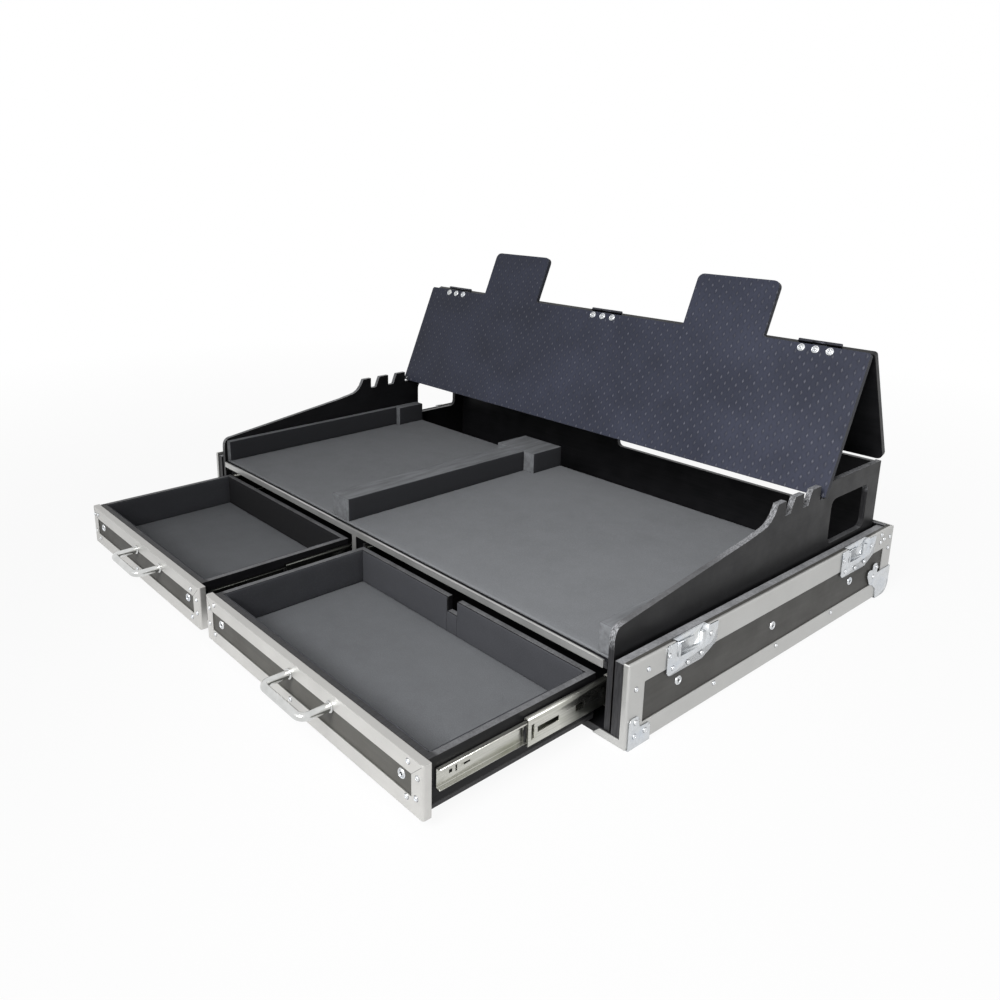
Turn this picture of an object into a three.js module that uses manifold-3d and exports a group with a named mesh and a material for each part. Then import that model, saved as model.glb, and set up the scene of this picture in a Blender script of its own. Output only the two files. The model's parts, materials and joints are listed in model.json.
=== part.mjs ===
// Road case for stage gear: an edged tray with two drawers on ball-bearing slides, a foam-lined deck
// above them, side boards with a row of notches, and a folding stand that drops into the notches.
// Millimetres, +Z up, +X to the right of someone who faces the drawers, which open towards -Y.
// The pieces are drawn with x = 0 in the middle of the tray, y = 0 at its front face and z = 0 on the
// ground, and the whole group is then moved so that its origin is the middle of its own footprint.

import * as THREE from "three";
import { mergeVertices } from "three/addons/utils/BufferGeometryUtils.js";
import Module from "manifold-3d";

const wasm = await Module();
wasm.setup();

// Fits and cuts
const clearance = 0.3; // between pieces that lie against each other
const overrun = 5; // how far a cut runs past the face that it opens
const weldDistance = 0.001; // corners closer than this are one corner

// Tray
const trayWidth = 1118;
const trayDepth = 726;
const trayTop = 125; // top edge above the ground
const wallThickness = 9;
const floorThickness = 11;
const linerThickness = 13;
const linerDrop = 4; // liner's top below the tray's top edge

// Aluminium edging round the tray
const edgingSheet = 1.5;
const edgingRadius = 3;
const topFlange = 34;
const bottomFlange = 30;
const endFlange = 33;
const wrapFlange = 30; // under the floor and round the back
const topLip = 4;
const frontLip = 9.5;
const returnLength = 44.5; // short stretch along the floor's front edge
const returnHeight = 12.5;
const windowRadius = 2;

// Pressed steel on the tray's bottom corners
const cornerSheet = 1.2;
const braceSetback = 5;
const braceLength = 45;
const braceHeight = 45.5;
const braceUprightWidth = 20.6;
const braceFootHeight = 27;
const braceUnderWidth = 20;
const braceRadius = 6;
const ballRadius = 24;
const ballBulge = 6; // beyond the edging's faces
const ballReach = 82; // plates of the ball corner, along the tray and up
const ballRise = 70;
const ballLobeRadius = 5;
const ballOutlineShares = [ // of the reach, of the rise and of the lobes' radius
  [0, 0, 0],
  [0.54, 0, 0],
  [0.57, 0.26, 0],
  [0.71, 0.4, 0],
  [0.88, 0.49, 0],
  [1, 0.71, 1],
  [1, 0.87, 1],
  [0.86, 0.87, 1],
  [0.8, 0.84, 0],
  [0.8, 1, 1],
  [0.63, 1, 1],
  [0.59, 0.72, 0],
  [0, 0.72, 0],
];

// Recessed latch strikes on the tray's sides
const strikeWidth = 113;
const strikeHeight = 45.7;
const strikeSheet = 1.5;
const strikeRadius = 9;
const strikeCutLength = 33; // slanted cut across the plate's lower rear corner
const strikeCutHeight = 15;
const strikeFromFront = 134; // middle of the front strike
const strikeFromRear = 127; // middle of the rear strike
const dishWidth = 73;
const dishHeight = 28;
const dishRadius = 12;
const dishFlare = 3; // how much wider the dish's mouth is at the face
const dishDepth = 9;
const strikePostInset = 3.4; // between a post and the dish's side wall
const strikePostRadius = 4.3;
const strikePostBore = 2.6;
const strikePostHeight = 18.5;
const catchRise = 5; // catch plate's lower edge above the dish floor
const catchHeight = 14;
const catchReach = 8; // how far the catch plate runs past the strike's middle

// Cabinet boards inside the tray
const cabinetBoard = 9;
const sideGap = 3.9; // between a side board and the liner beside it
const rearLidGap = 10.2; // slot for the lid's rear wall
const cabinetSetback = 3.5;
const frontShoulder = 165; // height of the side board at its front corner
const frontShoulderRadius = 20;
const rampRise = 38; // from the front shoulder to the foot of the hump
const rampToHump = 66; // from the foot of the hump to the first tooth
const rampSwell = 8; // the hump's foot swings this far up before it climbs
const rampCrest = 16; // how far before its top the climb bends
const toothTop = 240;
const toothLead = 22; // flat in front of the first notch
const notchCount = 3;
const notchPitch = 52;
const notchWidth = 16;
const notchDepth = 24;
const lastNotchToBack = 194; // from the rearmost notch to the back board
const backTop = 238;
const sideWindowLength = 124;
const sideWindowHeight = 78;
const sideWindowSill = 129;
const sideWindowToBack = 28;
const sideWindowRadius = 13;
const backWindowLength = 441;
const backWindowHeight = 60;
const backWindowSill = 135;
const backWindowFromMiddle = -16; // left edge of the window
const backWindowRadius = 10;

// Deck
const deckUnderside = 103;
const deckThickness = 9;
const deckFoam = 5.2;
const deckFoamSetback = 9;
const wellDepth = 159; // open cable well between the deck and the back board
const deckEdging = 11;
const deckEdgingInset = 5;
const deckEdgingLip = 3.5;
const dividerBoard = 9;
const dividerOffset = -37; // middle of the divider
const dividerStrip = 11;
const foamBarHeight = 42.7;
const foamBarBedding = 1; // how far the sheet gives way under a glued bar
const leftBarThickness = 14.7;
const rightBarThickness = 21.7;
const sideBlockReach = 26.7;
const sideBlockDepth = 73;
const centreBarThickness = 50;
const centreBarOffset = -89;
const centreBlockLength = 106;
const centreBlockOffset = -90;
const centreBlockDepth = 84;

// Drawers, shown pulled out
const drawerTravel = 293.5;
const frontThickness = 12.5;
const frontHeight = 72.5;
const frontFloorGap = 0.9;
const frontEndGap = 13.3; // drawer front's outer end from the cabinet's side board
const leftFrontGap = 10; // drawer front's inner end from the divider's middle
const rightFrontGap = 15;
const frontFlange = 21;
const frontRadius = 4;
const boxWall = 9;
const boxDepth = 285.2;
const boxWallHeight = 61.2;
const boxBottom = 6;
const boxBottomSetback = 17;
const boxFloorGap = 6.2;
const liningThickness = 3;
const cableNotchWidth = 23;
const cableNotchDepth = 24;
const cableNotchFromEnd = 259.3; // notch's right edge from the drawer box's right side
const handleRadius = 5;
const handleSpacing = 100;
const handleReach = 43.5;
const handleBend = 12;
const handleHeight = 68;
const handleOffset = 31; // from the middle of the drawer front

// Three-section ball-bearing slides
const slideLength = 275;
const outerSetback = 17; // from the tray's front face
const innerSetback = 23; // from the drawer front's face
const slideThickness = 12.7;
const slideHeight = 59.5; // middle of the slides
const slideSheet = 1.2;
const slideBend = 2.2;
const outerChannelHeight = 45.7;
const outerChannelWidth = 9.6;
const middleChannelHeight = 38.5;
const middleChannelWidth = 8;
const middleChannelInset = 3.4;
const innerChannelHeight = 28;
const innerChannelWidth = 7.5;
const channelLip = 3;
const ballBite = 0.2; // how far a ball's foot is let into its race
const ballsPerRow = 3;
const ballRowSetback = 9;
const ballRowLength = 96;
const packing = 5.7; // batten between a board and the slide on it
const packingHeight = 50;
const cageThickness = 0.8;
const cageWidth = 2.6;
const innerScrewHole = 5;
const innerScrewSetback = 19;
const innerSlotSetback = 29;
const innerSlotWidth = 2.5;
const innerSlotHeight = 9;
const innerOblongSetback = 42;
const innerOblongLength = 10;
const innerOblongHeight = 3;
const middleWindowSetback = 16;
const middleWindowLength = 38.5;
const middleWindowHeight = 8;
const middleSlotSetback = 5;
const middleSlotLength = 5;
const middleSlotHeight = 21;
const middlePortSetback = 86;
const middlePortLength = 16;
const middlePortHeight = 10;

// Folding stand
const standOverhang = 4; // the leaves' ends beyond the side boards' outer faces
const standBoard = 9;
const frontLeafLength = 240;
const pinAboveBoards = 6.5;
const standFootShare = 0.75; // where the rear feet stand across the back board's thickness
const standFootHeight = 5;
const standFootWidth = 60;
const standFootOffset = 330;
const standRadius = 12;
const leanRounds = 12; // rounds of working out the lean
const tabWidth = 163;
const tabToHinge = 59; // from a tab's outer side to the outer hinge
const tabRise = 102;
const tabRootRadius = 5;
const hingeFromEnd = 89; // middle of an outer hinge from the leaf's end
const hingeWidth = 73;
const hingeLeaf = 24;
const hingeSheet = 1.5;
const knuckleRadius = 3.5;
const pinRadius = 1.7;
const knuckleShare = 1 / 3;

// Roundness of curves
const cornerSteps = 2;
const rampSteps = 6;
const rodSides = 12;
const handleSides = 6;
const handleSteps = 20;
const ballSides = 6;
const ballRings = 4;
const cornerBallSides = 24;
const cornerBallRings = 16;

// Places worked out from the sizes above
const trayHalf = trayWidth / 2;
const edgingBottom = cornerSheet + clearance;
const shellInset = edgingSheet + clearance;
const wallOuter = trayHalf - shellInset;
const wallInner = wallOuter - wallThickness;
const wallTop = trayTop - shellInset;
const floorBottom = edgingBottom + shellInset;
const floorTop = floorBottom + floorThickness;
const boardFoot = floorTop + clearance;
const floorHalf = wallInner - clearance;
const trayRear = trayDepth - shellInset;
const backWallFront = trayRear - wallThickness;
const linerInner = floorHalf - linerThickness;
const cabinetOuter = linerInner - sideGap;
const cabinetInner = cabinetOuter - cabinetBoard;
const bayHalf = cabinetInner - clearance;
const standHalf = cabinetOuter + standOverhang;
const hingeOffset = standHalf - hingeFromEnd;
const tabOffset = hingeOffset - hingeWidth / 2 - tabToHinge - tabWidth / 2;
const backBoardRear = backWallFront - rearLidGap;
const backBoardFront = backBoardRear - cabinetBoard;
const steelFace = trayHalf + clearance;
const ballInset = ballRadius - ballBulge;
const ballCentre = [trayHalf - ballInset, trayDepth - ballInset, edgingBottom + ballInset];
const cornerRound = Math.hypot(edgingBottom + ballInset, edgingBottom + ballInset);
const dishBack = steelFace + strikeSheet - dishDepth;
const dishOuter = dishBack - strikeSheet;
const dishFloor = trayTop - dishHeight + strikeSheet;
const strikePlaces = [strikeFromFront, trayDepth - strikeFromRear];
const deckTop = deckUnderside + deckThickness;
const deckRear = backBoardFront - wellDepth;
const deckFoamFoot = deckTop + clearance;
const deckFoamTop = deckFoamFoot + deckFoam;
const barFoot = deckFoamTop - foamBarBedding + clearance;
const foamBars = {
  left: {
    bar: [-bayHalf, leftBarThickness - bayHalf],
    rear: [-bayHalf, sideBlockReach - bayHalf],
    rearDepth: sideBlockDepth,
  },
  right: {
    bar: [bayHalf - rightBarThickness, bayHalf],
    rear: [bayHalf - sideBlockReach, bayHalf],
    rearDepth: sideBlockDepth,
  },
  centre: {
    bar: [centreBarOffset - centreBarThickness / 2, centreBarOffset + centreBarThickness / 2],
    rear: [centreBlockOffset - centreBlockLength / 2, centreBlockOffset + centreBlockLength / 2],
    rearDepth: centreBlockDepth,
  },
};
const dividerLeft = dividerOffset - dividerBoard / 2;
const dividerRight = dividerOffset + dividerBoard / 2;
const frontFoot = floorTop + frontFloorGap;
const frontTop = frontFoot + frontHeight;
const boxBottomFoot = floorTop + boxFloorGap;
const boxFoot = boxBottomFoot + boxBottom + clearance;
const boxTop = boxFoot + boxWallHeight;
const slideSpace = slideThickness + 2 * clearance;
const slideInset = packing + slideSpace; // drawer box's side from the board that carries its slide
const drawerFace = -drawerTravel;
const boxFront = drawerFace + frontThickness + clearance;
const boxRear = boxFront + boxDepth;
const notchFloor = toothTop - notchDepth;
const lastNotch = backBoardFront - lastNotchToBack;
const firstNotch = lastNotch - (notchCount - 1) * notchPitch;
const footRest = {
  y: backBoardFront + standFootShare * cabinetBoard,
  z: backTop + clearance,
};
const leafFoot = {
  y: lastNotch + notchWidth - clearance,
  z: notchFloor + clearance,
};
const pinToFoot = frontLeafLength + pinAboveBoards;
const standTilt = leanOfStand();
const pinPlace = {
  y: leafFoot.y + pinToFoot * Math.sin(standTilt),
  z: leafFoot.z + pinToFoot * Math.cos(standTilt),
};
const rearLeafReach = (pinPlace.z - footRest.z) / Math.cos(standTilt);
const caseFront = drawerFace - handleReach - handleRadius - clearance;
const caseRear = trayDepth + ballBulge;

// Both leaves of the stand lean alike, so the lean follows from the length of the front leaf and from
// how far apart and how much higher or lower the two feet stand.
function leanOfStand() {
  const apart = footRest.y - leafFoot.y;
  const higher = footRest.z - leafFoot.z;
  let lean = Math.asin(apart / (2 * pinToFoot));
  for (let round = 0; round < leanRounds; round += 1) {
    lean = Math.asin((apart + higher * Math.tan(lean)) / (2 * pinToFoot));
  }
  return lean;
}

// Materials
const aluminium = finish(0xbdbdbb, 0.38, 0.9);
const zinc = finish(0xc4cad0, 0.3, 0.95);
const bareSteel = finish(0xcfd2d4, 0.2, 1);
const laminate = finish(0x454441, 0.6, 0);
const drawerLaminate = finish(0x56554f, 0.6, 0);
const blackPly = finish(0x1a1a1c, 0.7, 0);
const standPly = finish(0x2b2e38, 0.5, 0);
const deckFoamLook = finish(0x6c6e70, 1, 0);
const darkFoamLook = finish(0x35363a, 1, 0);

function finish(color, roughness, metalness) {
  return { color, roughness, metalness };
}

// Solids and meshes
function solidOf(geometry) {
  const bare = geometry.clone();
  bare.deleteAttribute("normal");
  bare.deleteAttribute("uv");
  const welded = mergeVertices(bare, weldDistance);
  const vertProperties = Float32Array.from(welded.attributes.position.array);
  const triVerts = Uint32Array.from(welded.index.array);
  return new wasm.Manifold(new wasm.Mesh({ numProp: 3, vertProperties, triVerts }));
}

function geometryOf(solid) {
  const mesh = solid.getMesh();
  const geometry = new THREE.BufferGeometry();
  geometry.setAttribute("position", new THREE.BufferAttribute(Float32Array.from(mesh.vertProperties), 3));
  geometry.setIndex(new THREE.BufferAttribute(Uint32Array.from(mesh.triVerts), 1));
  return geometry;
}

function join(first, ...others) {
  return others.reduce((sum, other) => sum.add(other), first);
}

function cut(first, ...others) {
  return others.reduce((rest, other) => rest.subtract(other), first);
}

function piece(name, solid, look, mirrored = false) {
  const geometry = geometryOf(solid);
  if (mirrored) {
    geometry.applyMatrix4(new THREE.Matrix4().makeScale(-1, 1, 1));
    const index = geometry.index;
    for (let corner = 0; corner < index.count; corner += 3) {
      const swapped = index.getX(corner);
      index.setX(corner, index.getX(corner + 1));
      index.setX(corner + 1, swapped);
    }
  }
  geometry.computeVertexNormals();
  const mesh = new THREE.Mesh(geometry, new THREE.MeshStandardMaterial(look));
  mesh.name = name;
  return mesh;
}

function block([left, right], [front, rear], [foot, top]) {
  const box = new THREE.BoxGeometry(right - left, rear - front, top - foot);
  box.translate((left + right) / 2, (front + rear) / 2, (foot + top) / 2);
  return solidOf(box);
}

// An outline is a list of corners [across, up, radius]; a corner without a radius stays sharp.
function outline(corners) {
  const shape = new THREE.Shape();
  const count = corners.length;
  corners.forEach(([across, up, radius], place) => {
    const here = new THREE.Vector2(across, up);
    if (!radius) {
      if (place === 0) shape.moveTo(here.x, here.y);
      else shape.lineTo(here.x, here.y);
      return;
    }
    const before = new THREE.Vector2(...corners[(place + count - 1) % count]).sub(here).normalize();
    const after = new THREE.Vector2(...corners[(place + 1) % count]).sub(here).normalize();
    const half = Math.acos(before.dot(after)) / 2;
    const start = here.clone().addScaledVector(before, radius / Math.tan(half));
    const end = here.clone().addScaledVector(after, radius / Math.tan(half));
    const middle = before.clone().add(after).normalize();
    const centre = here.clone().addScaledVector(middle, radius / Math.sin(half));
    const clockwise = before.cross(after) > 0;
    if (place === 0) shape.moveTo(start.x, start.y);
    else shape.lineTo(start.x, start.y);
    const from = start.sub(centre).angle();
    const to = end.sub(centre).angle();
    shape.absarc(centre.x, centre.y, radius, from, to, clockwise);
  });
  shape.closePath();
  return shape;
}

function rectangle([left, right], [foot, top], radius = 0) {
  return outline([[left, foot, radius], [right, foot, radius], [right, top, radius], [left, top, radius]]);
}

function extruded(shape, length, steps) {
  return new THREE.ExtrudeGeometry(shape, { depth: length, bevelEnabled: false, curveSegments: steps });
}

// Outline across X and up Z, run along Y
function alongY(shape, [front, rear], steps = cornerSteps) {
  const body = extruded(shape, rear - front, steps);
  body.rotateX(Math.PI / 2);
  body.translate(0, rear, 0);
  return solidOf(body);
}

// Outline across Y and up Z, run along X
function alongX(shape, [left, right], steps = cornerSteps) {
  return turnedAlongX(extruded(shape, right - left, steps), left);
}

// The same, but the outline grows by flare on its way to the face and then runs on past it.
function flaredAlongX(shape, [start, face], flare) {
  const body = new THREE.ExtrudeGeometry(shape, {
    depth: overrun,
    bevelThickness: face - start,
    bevelSize: flare,
    bevelSegments: 1,
    curveSegments: cornerSteps,
  });
  return turnedAlongX(body, face);
}

function turnedAlongX(body, left) {
  const turn = new THREE.Matrix4().makeBasis(
    new THREE.Vector3(0, 1, 0),
    new THREE.Vector3(0, 0, 1),
    new THREE.Vector3(1, 0, 0),
  );
  body.applyMatrix4(turn);
  body.translate(left, 0, 0);
  return solidOf(body);
}

// Outline in plan, run up Z
function alongZ(shape, [foot, top], steps = cornerSteps) {
  const body = extruded(shape, top - foot, steps);
  body.translate(0, 0, foot);
  return solidOf(body);
}

function rodUp(radius, [foot, top], x, y) {
  const rod = new THREE.CylinderGeometry(radius, radius, top - foot, rodSides);
  rod.rotateX(Math.PI / 2);
  rod.translate(x, y, (foot + top) / 2);
  return solidOf(rod);
}

function rodAcross(radius, [left, right], y, z) {
  const rod = new THREE.CylinderGeometry(radius, radius, right - left, rodSides);
  rod.rotateZ(Math.PI / 2);
  rod.translate((left + right) / 2, y, z);
  return solidOf(rod);
}

function ball(radius, [x, y, z], sides = ballSides, rings = ballRings) {
  const sphere = new THREE.SphereGeometry(radius, sides, rings);
  sphere.rotateX(Math.PI / 2);
  sphere.translate(x, y, z);
  return solidOf(sphere);
}

// Tray boards
function floorBoard() {
  return block([-floorHalf, floorHalf], [shellInset, trayRear], [floorBottom, floorTop]);
}

function sideWall() {
  let wall = block([wallInner, wallOuter], [shellInset, trayRear], [floorBottom, wallTop]);
  for (const middle of strikePlaces) {
    wall = cut(wall, dishRoom(middle));
  }
  return cut(wall, cornerRelief(1));
}

function backWall() {
  return block([-floorHalf, floorHalf], [backWallFront, trayRear], [boardFoot, wallTop]);
}

function sideLiner() {
  const across = [linerInner, floorHalf];
  return block(across, [shellInset, backWallFront - clearance], [boardFoot, trayTop - linerDrop]);
}

// The tray's outer shape with every edge rounded, less the room for the boards
function edgingShell() {
  const across = [-trayHalf, trayHalf];
  const along = [0, trayDepth];
  const up = [edgingBottom, trayTop];
  const plan = alongZ(rectangle(across, along, edgingRadius), up);
  const face = alongY(rectangle(across, up, edgingRadius), along);
  const side = alongX(rectangle(along, up, edgingRadius), across);
  const rounded = plan.intersect(face).intersect(side);
  const room = block(
    [edgingSheet - trayHalf, trayHalf - edgingSheet],
    [edgingSheet, trayDepth - edgingSheet],
    [edgingBottom + edgingSheet, trayTop - edgingSheet],
  );
  return cut(rounded, room);
}

// What lies beyond a ball of this radius on a lower rear corner, the right one (1) or the left one (-1)
function beyondBall(radius, side) {
  const [x, y, z] = ballCentre;
  const ends = [side * x, side * (x + cornerRound)];
  const across = [Math.min(...ends), Math.max(...ends)];
  const corner = block(across, [y, y + cornerRound], [z - cornerRound, z]);
  return cut(corner, ball(radius, [side * x, y, z], cornerBallSides, cornerBallRings));
}

// The boards and the edging are rounded off where a ball corner goes over them.
function cornerRelief(side) {
  return beyondBall(cornerRound - cornerSheet - clearance, side);
}

// Space that one latch dish takes out of the edging and the side wall
function dishRoom(middle) {
  return block(
    [dishOuter - clearance, trayHalf + overrun],
    [middle - dishWidth / 2 - clearance, middle + dishWidth / 2 + clearance],
    [trayTop - dishHeight - clearance, trayTop + overrun],
  );
}

// The part of the back that the level rails take, with mitred ends, less a gap on the end
function railShare(gap) {
  const end = trayHalf + gap;
  const top = outline([
    [-end, trayTop],
    [wrapFlange - end, trayTop - topFlange],
    [end - wrapFlange, trayTop - topFlange],
    [end, trayTop],
    [end, trayTop + overrun],
    [-end, trayTop + overrun],
  ]);
  const bottom = outline([
    [-end, edgingBottom - overrun],
    [end, edgingBottom - overrun],
    [end, edgingBottom],
    [end - wrapFlange, edgingBottom + bottomFlange],
    [wrapFlange - end, edgingBottom + bottomFlange],
    [-end, edgingBottom],
  ]);
  const along = [trayDepth - edgingRadius - wrapFlange, trayDepth + overrun];
  const lipAlong = [trayDepth - topLip - gap, trayDepth + overrun];
  return { top: alongY(top, lipAlong), bottom: alongY(bottom, along) };
}

function sideFrame(shell) {
  const out = trayHalf + overrun;
  const whole = [-overrun, trayDepth + overrun];
  const height = [edgingBottom - overrun, trayTop + overrun];
  const returnAcross = [trayHalf - frontLip - returnLength, out];
  const kept = join(
    block([trayHalf - topLip, out], whole, [trayTop - topFlange, height[1]]),
    block([trayHalf - edgingSheet, out], whole, height),
    block([trayHalf - frontLip, out], [-overrun, edgingSheet], height),
    block([trayHalf - wrapFlange, out], whole, [height[0], edgingBottom + edgingSheet]),
    block([trayHalf - wrapFlange, out], [trayDepth - edgingSheet, whole[1]], height),
    block(returnAcross, [-overrun, edgingSheet], [height[0], edgingBottom + returnHeight]),
    block(returnAcross, [-overrun, bottomFlange], [height[0], edgingBottom + edgingSheet]),
  );
  const along = [endFlange, trayDepth - endFlange];
  const up = [edgingBottom + bottomFlange, trayTop - topFlange];
  const window = alongX(rectangle(along, up, windowRadius), [wallInner, out]);
  const returnEnd = returnAcross[0];
  const mitre = outline([
    [returnEnd - overrun, edgingBottom - overrun],
    [returnEnd, edgingBottom],
    [returnEnd + returnHeight, edgingBottom + returnHeight],
    [returnEnd + returnHeight, edgingBottom + returnHeight + overrun],
    [returnEnd - overrun, edgingBottom + returnHeight + overrun],
  ]);
  const rails = railShare(clearance);
  const mitreCut = alongY(mitre, [-overrun, edgingSheet + overrun]);
  let frame = cut(shell.intersect(kept), window, mitreCut, rails.top, rails.bottom, cornerRelief(1));
  for (const middle of strikePlaces) {
    frame = cut(frame, dishRoom(middle));
  }
  return frame;
}

function backRails(shell) {
  const across = [-trayHalf, trayHalf];
  const rails = railShare(0);
  const topKept = join(
    block(across, [trayDepth - topLip, trayDepth], [trayTop - edgingSheet, trayTop]),
    block(across, [trayDepth - edgingSheet, trayDepth], [trayTop - topFlange, trayTop]),
  );
  const bottomTop = edgingBottom + bottomFlange;
  const bottomKept = join(
    block(across, [trayDepth - wrapFlange, trayDepth], [edgingBottom, edgingBottom + edgingSheet]),
    block(across, [trayDepth - edgingSheet, trayDepth], [edgingBottom, bottomTop]),
  );
  const bottom = shell.intersect(bottomKept).intersect(rails.bottom);
  return {
    top: shell.intersect(topKept).intersect(rails.top),
    bottom: cut(bottom, cornerRelief(1), cornerRelief(-1)),
  };
}

// Pressed corner pieces
function cornerBrace() {
  const front = braceSetback;
  const upright = front + braceUprightWidth;
  const tip = front + braceLength;
  const side = outline([
    [front, 0],
    [tip, 0],
    [tip, braceFootHeight, braceRadius],
    [upright, braceFootHeight, braceRadius],
    [upright, braceHeight, braceRadius],
    [front, braceHeight, braceRadius],
  ]);
  const across = [steelFace, steelFace + cornerSheet];
  const under = block([steelFace - braceUnderWidth, across[1]], [front, tip], [0, cornerSheet]);
  return join(alongX(side, across), under);
}

function ballCornerOutline(corner, inward) {
  const corners = ballOutlineShares.map(([reach, rise, round]) => {
    return [corner + inward * reach * ballReach, rise * ballRise, round * ballLobeRadius];
  });
  return outline(corners);
}

function ballCorner() {
  const sideFace = [steelFace, steelFace + cornerSheet];
  const rearFace = [trayDepth + clearance, trayDepth + clearance + cornerSheet];
  const side = alongX(ballCornerOutline(rearFace[1], -1), sideFace);
  const rear = alongY(ballCornerOutline(sideFace[1], -1), rearFace);
  const underReach = ballReach * ballOutlineShares[1][0];
  const underAlong = [rearFace[1] - underReach, rearFace[1]];
  const under = block([sideFace[1] - underReach, sideFace[1]], underAlong, [0, cornerSheet]);
  const round = ball(cornerRound, ballCentre, cornerBallSides, cornerBallRings);
  const bulge = ball(ballRadius, ballCentre, cornerBallSides, cornerBallRings);
  const hollow = ball(ballRadius - cornerSheet, ballCentre, cornerBallSides, cornerBallRings);
  const within = block([0, sideFace[1]], [0, rearFace[1]], [0, trayTop]);
  const inside = block([0, steelFace], [0, rearFace[0]], [cornerSheet, trayTop]);
  const below = block([0, trayWidth], [0, 2 * trayDepth], [-ballRadius, 0]);
  const above = block([0, trayWidth], [0, 2 * trayDepth], [cornerSheet, trayTop]);
  return cut(
    join(side, rear, under, round.intersect(within), bulge),
    beyondBall(cornerRound, 1),
    cut(inside, beyondBall(cornerRound - cornerSheet, 1)),
    hollow.intersect(above),
    below,
  );
}

function strikePlate(middle) {
  const front = middle - strikeWidth / 2;
  const rear = middle + strikeWidth / 2;
  const foot = trayTop - strikeHeight;
  return outline([
    [front, foot, strikeRadius],
    [rear - strikeCutLength, foot, strikeRadius],
    [rear, foot + strikeCutHeight, strikeRadius],
    [rear, trayTop],
    [front, trayTop],
  ]);
}

function dishOutline(middle, inset) {
  const half = dishWidth / 2 - inset;
  const foot = trayTop - dishHeight + inset;
  const radius = dishRadius - inset;
  return outline([
    [middle - half, foot, radius],
    [middle + half, foot, radius],
    [middle + half, trayTop + inset],
    [middle - half, trayTop + inset],
  ]);
}

function latchStrike(middle) {
  const face = steelFace + strikeSheet;
  const plate = alongX(strikePlate(middle), [steelFace, face]);
  const dish = alongX(dishOutline(middle, 0), [dishOuter, face]);
  const mouth = alongX(dishOutline(middle, strikeSheet), [dishBack, face + overrun]);
  const flare = flaredAlongX(dishOutline(middle, strikeSheet), [steelFace, face], dishFlare);
  const postReach = dishWidth / 2 - strikeSheet - strikePostInset - strikePostRadius;
  const catchAcross = [dishBack + strikePostRadius - strikeSheet, dishBack + strikePostRadius];
  const catchAlong = [middle - postReach, middle + catchReach];
  const catchFoot = dishFloor + catchRise;
  const catchPlate = block(catchAcross, catchAlong, [catchFoot, catchFoot + catchHeight]);
  let strike = join(cut(join(plate, dish), mouth, flare), catchPlate);
  const postUp = [dishFloor - strikeSheet / 2, dishFloor + strikePostHeight];
  const boreUp = [dishFloor + strikeSheet, dishFloor + strikePostHeight + overrun];
  const postX = dishBack + strikePostRadius - strikeSheet / 2;
  for (const side of [-1, 1]) {
    const postY = middle + side * postReach;
    strike = join(strike, rodUp(strikePostRadius, postUp, postX, postY));
    strike = cut(strike, rodUp(strikePostBore, boreUp, postX, postY));
  }
  return strike;
}

// Cabinet boards
function cabinetSideOutline() {
  const front = cabinetSetback;
  const humpFoot = firstNotch - toothLead - rampToHump;
  const humpTop = firstNotch - toothLead;
  const rampTop = frontShoulder + rampRise;
  const shape = new THREE.Shape();
  shape.moveTo(front, boardFoot);
  shape.lineTo(front, frontShoulder - frontShoulderRadius);
  shape.quadraticCurveTo(front, frontShoulder, front + frontShoulderRadius, frontShoulder);
  shape.lineTo(humpFoot, rampTop);
  const swing = rampToHump / 2;
  const swell = [humpFoot + swing, rampTop + rampSwell];
  const crest = [humpTop - rampCrest, rampTop];
  shape.bezierCurveTo(...swell, ...crest, humpTop, toothTop);
  for (let notch = 0; notch < notchCount; notch += 1) {
    const start = firstNotch + notch * notchPitch;
    const lean = notchDepth * Math.tan(standTilt);
    shape.lineTo(start, toothTop);
    shape.lineTo(start, notchFloor);
    shape.lineTo(start + notchWidth, notchFloor);
    shape.lineTo(start + notchWidth + lean, toothTop);
  }
  shape.lineTo(backBoardRear, toothTop);
  shape.lineTo(backBoardRear, boardFoot);
  shape.closePath();
  return shape;
}

function cabinetSide() {
  const board = alongX(cabinetSideOutline(), [cabinetInner, cabinetOuter], rampSteps);
  const windowRear = backBoardFront - sideWindowToBack;
  const along = [windowRear - sideWindowLength, windowRear];
  const up = [sideWindowSill, sideWindowSill + sideWindowHeight];
  const through = [cabinetInner - overrun, cabinetOuter + overrun];
  const batten = slidePacking([cabinetInner - packing, cabinetOuter - cabinetBoard / 2]);
  return join(cut(board, alongX(rectangle(along, up, sideWindowRadius), through)), batten);
}

// Batten that brings a slide out from its board
function slidePacking(across) {
  const half = packingHeight / 2;
  return block(across, [outerSetback, outerSetback + slideLength], [slideHeight - half, slideHeight + half]);
}

function cabinetBack() {
  const board = block([-bayHalf, bayHalf], [backBoardFront, backBoardRear], [boardFoot, backTop]);
  const across = [backWindowFromMiddle, backWindowFromMiddle + backWindowLength];
  const up = [backWindowSill, backWindowSill + backWindowHeight];
  const through = [backBoardFront - overrun, backBoardRear + overrun];
  return cut(board, alongY(rectangle(across, up, backWindowRadius), through));
}

function deckBoard() {
  return block([-bayHalf, bayHalf], [shellInset, deckRear], [deckUnderside, deckTop]);
}

// Foam sheet, pressed down where each bar is glued on
function deckSheet() {
  let sheet = block([-bayHalf, bayHalf], [deckFoamSetback, deckRear], [deckFoamFoot, deckFoamTop]);
  for (const place of Object.keys(foamBars)) {
    const pressed = foamBar(place, [deckFoamTop - foamBarBedding, deckFoamTop + overrun], clearance);
    sheet = cut(sheet, pressed);
  }
  return sheet;
}

function divider() {
  const up = [boardFoot, deckUnderside - clearance];
  const board = block([dividerLeft, dividerRight], [shellInset, deckRear], up);
  return join(board, slidePacking([dividerLeft - packing, dividerRight + packing]));
}

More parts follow.
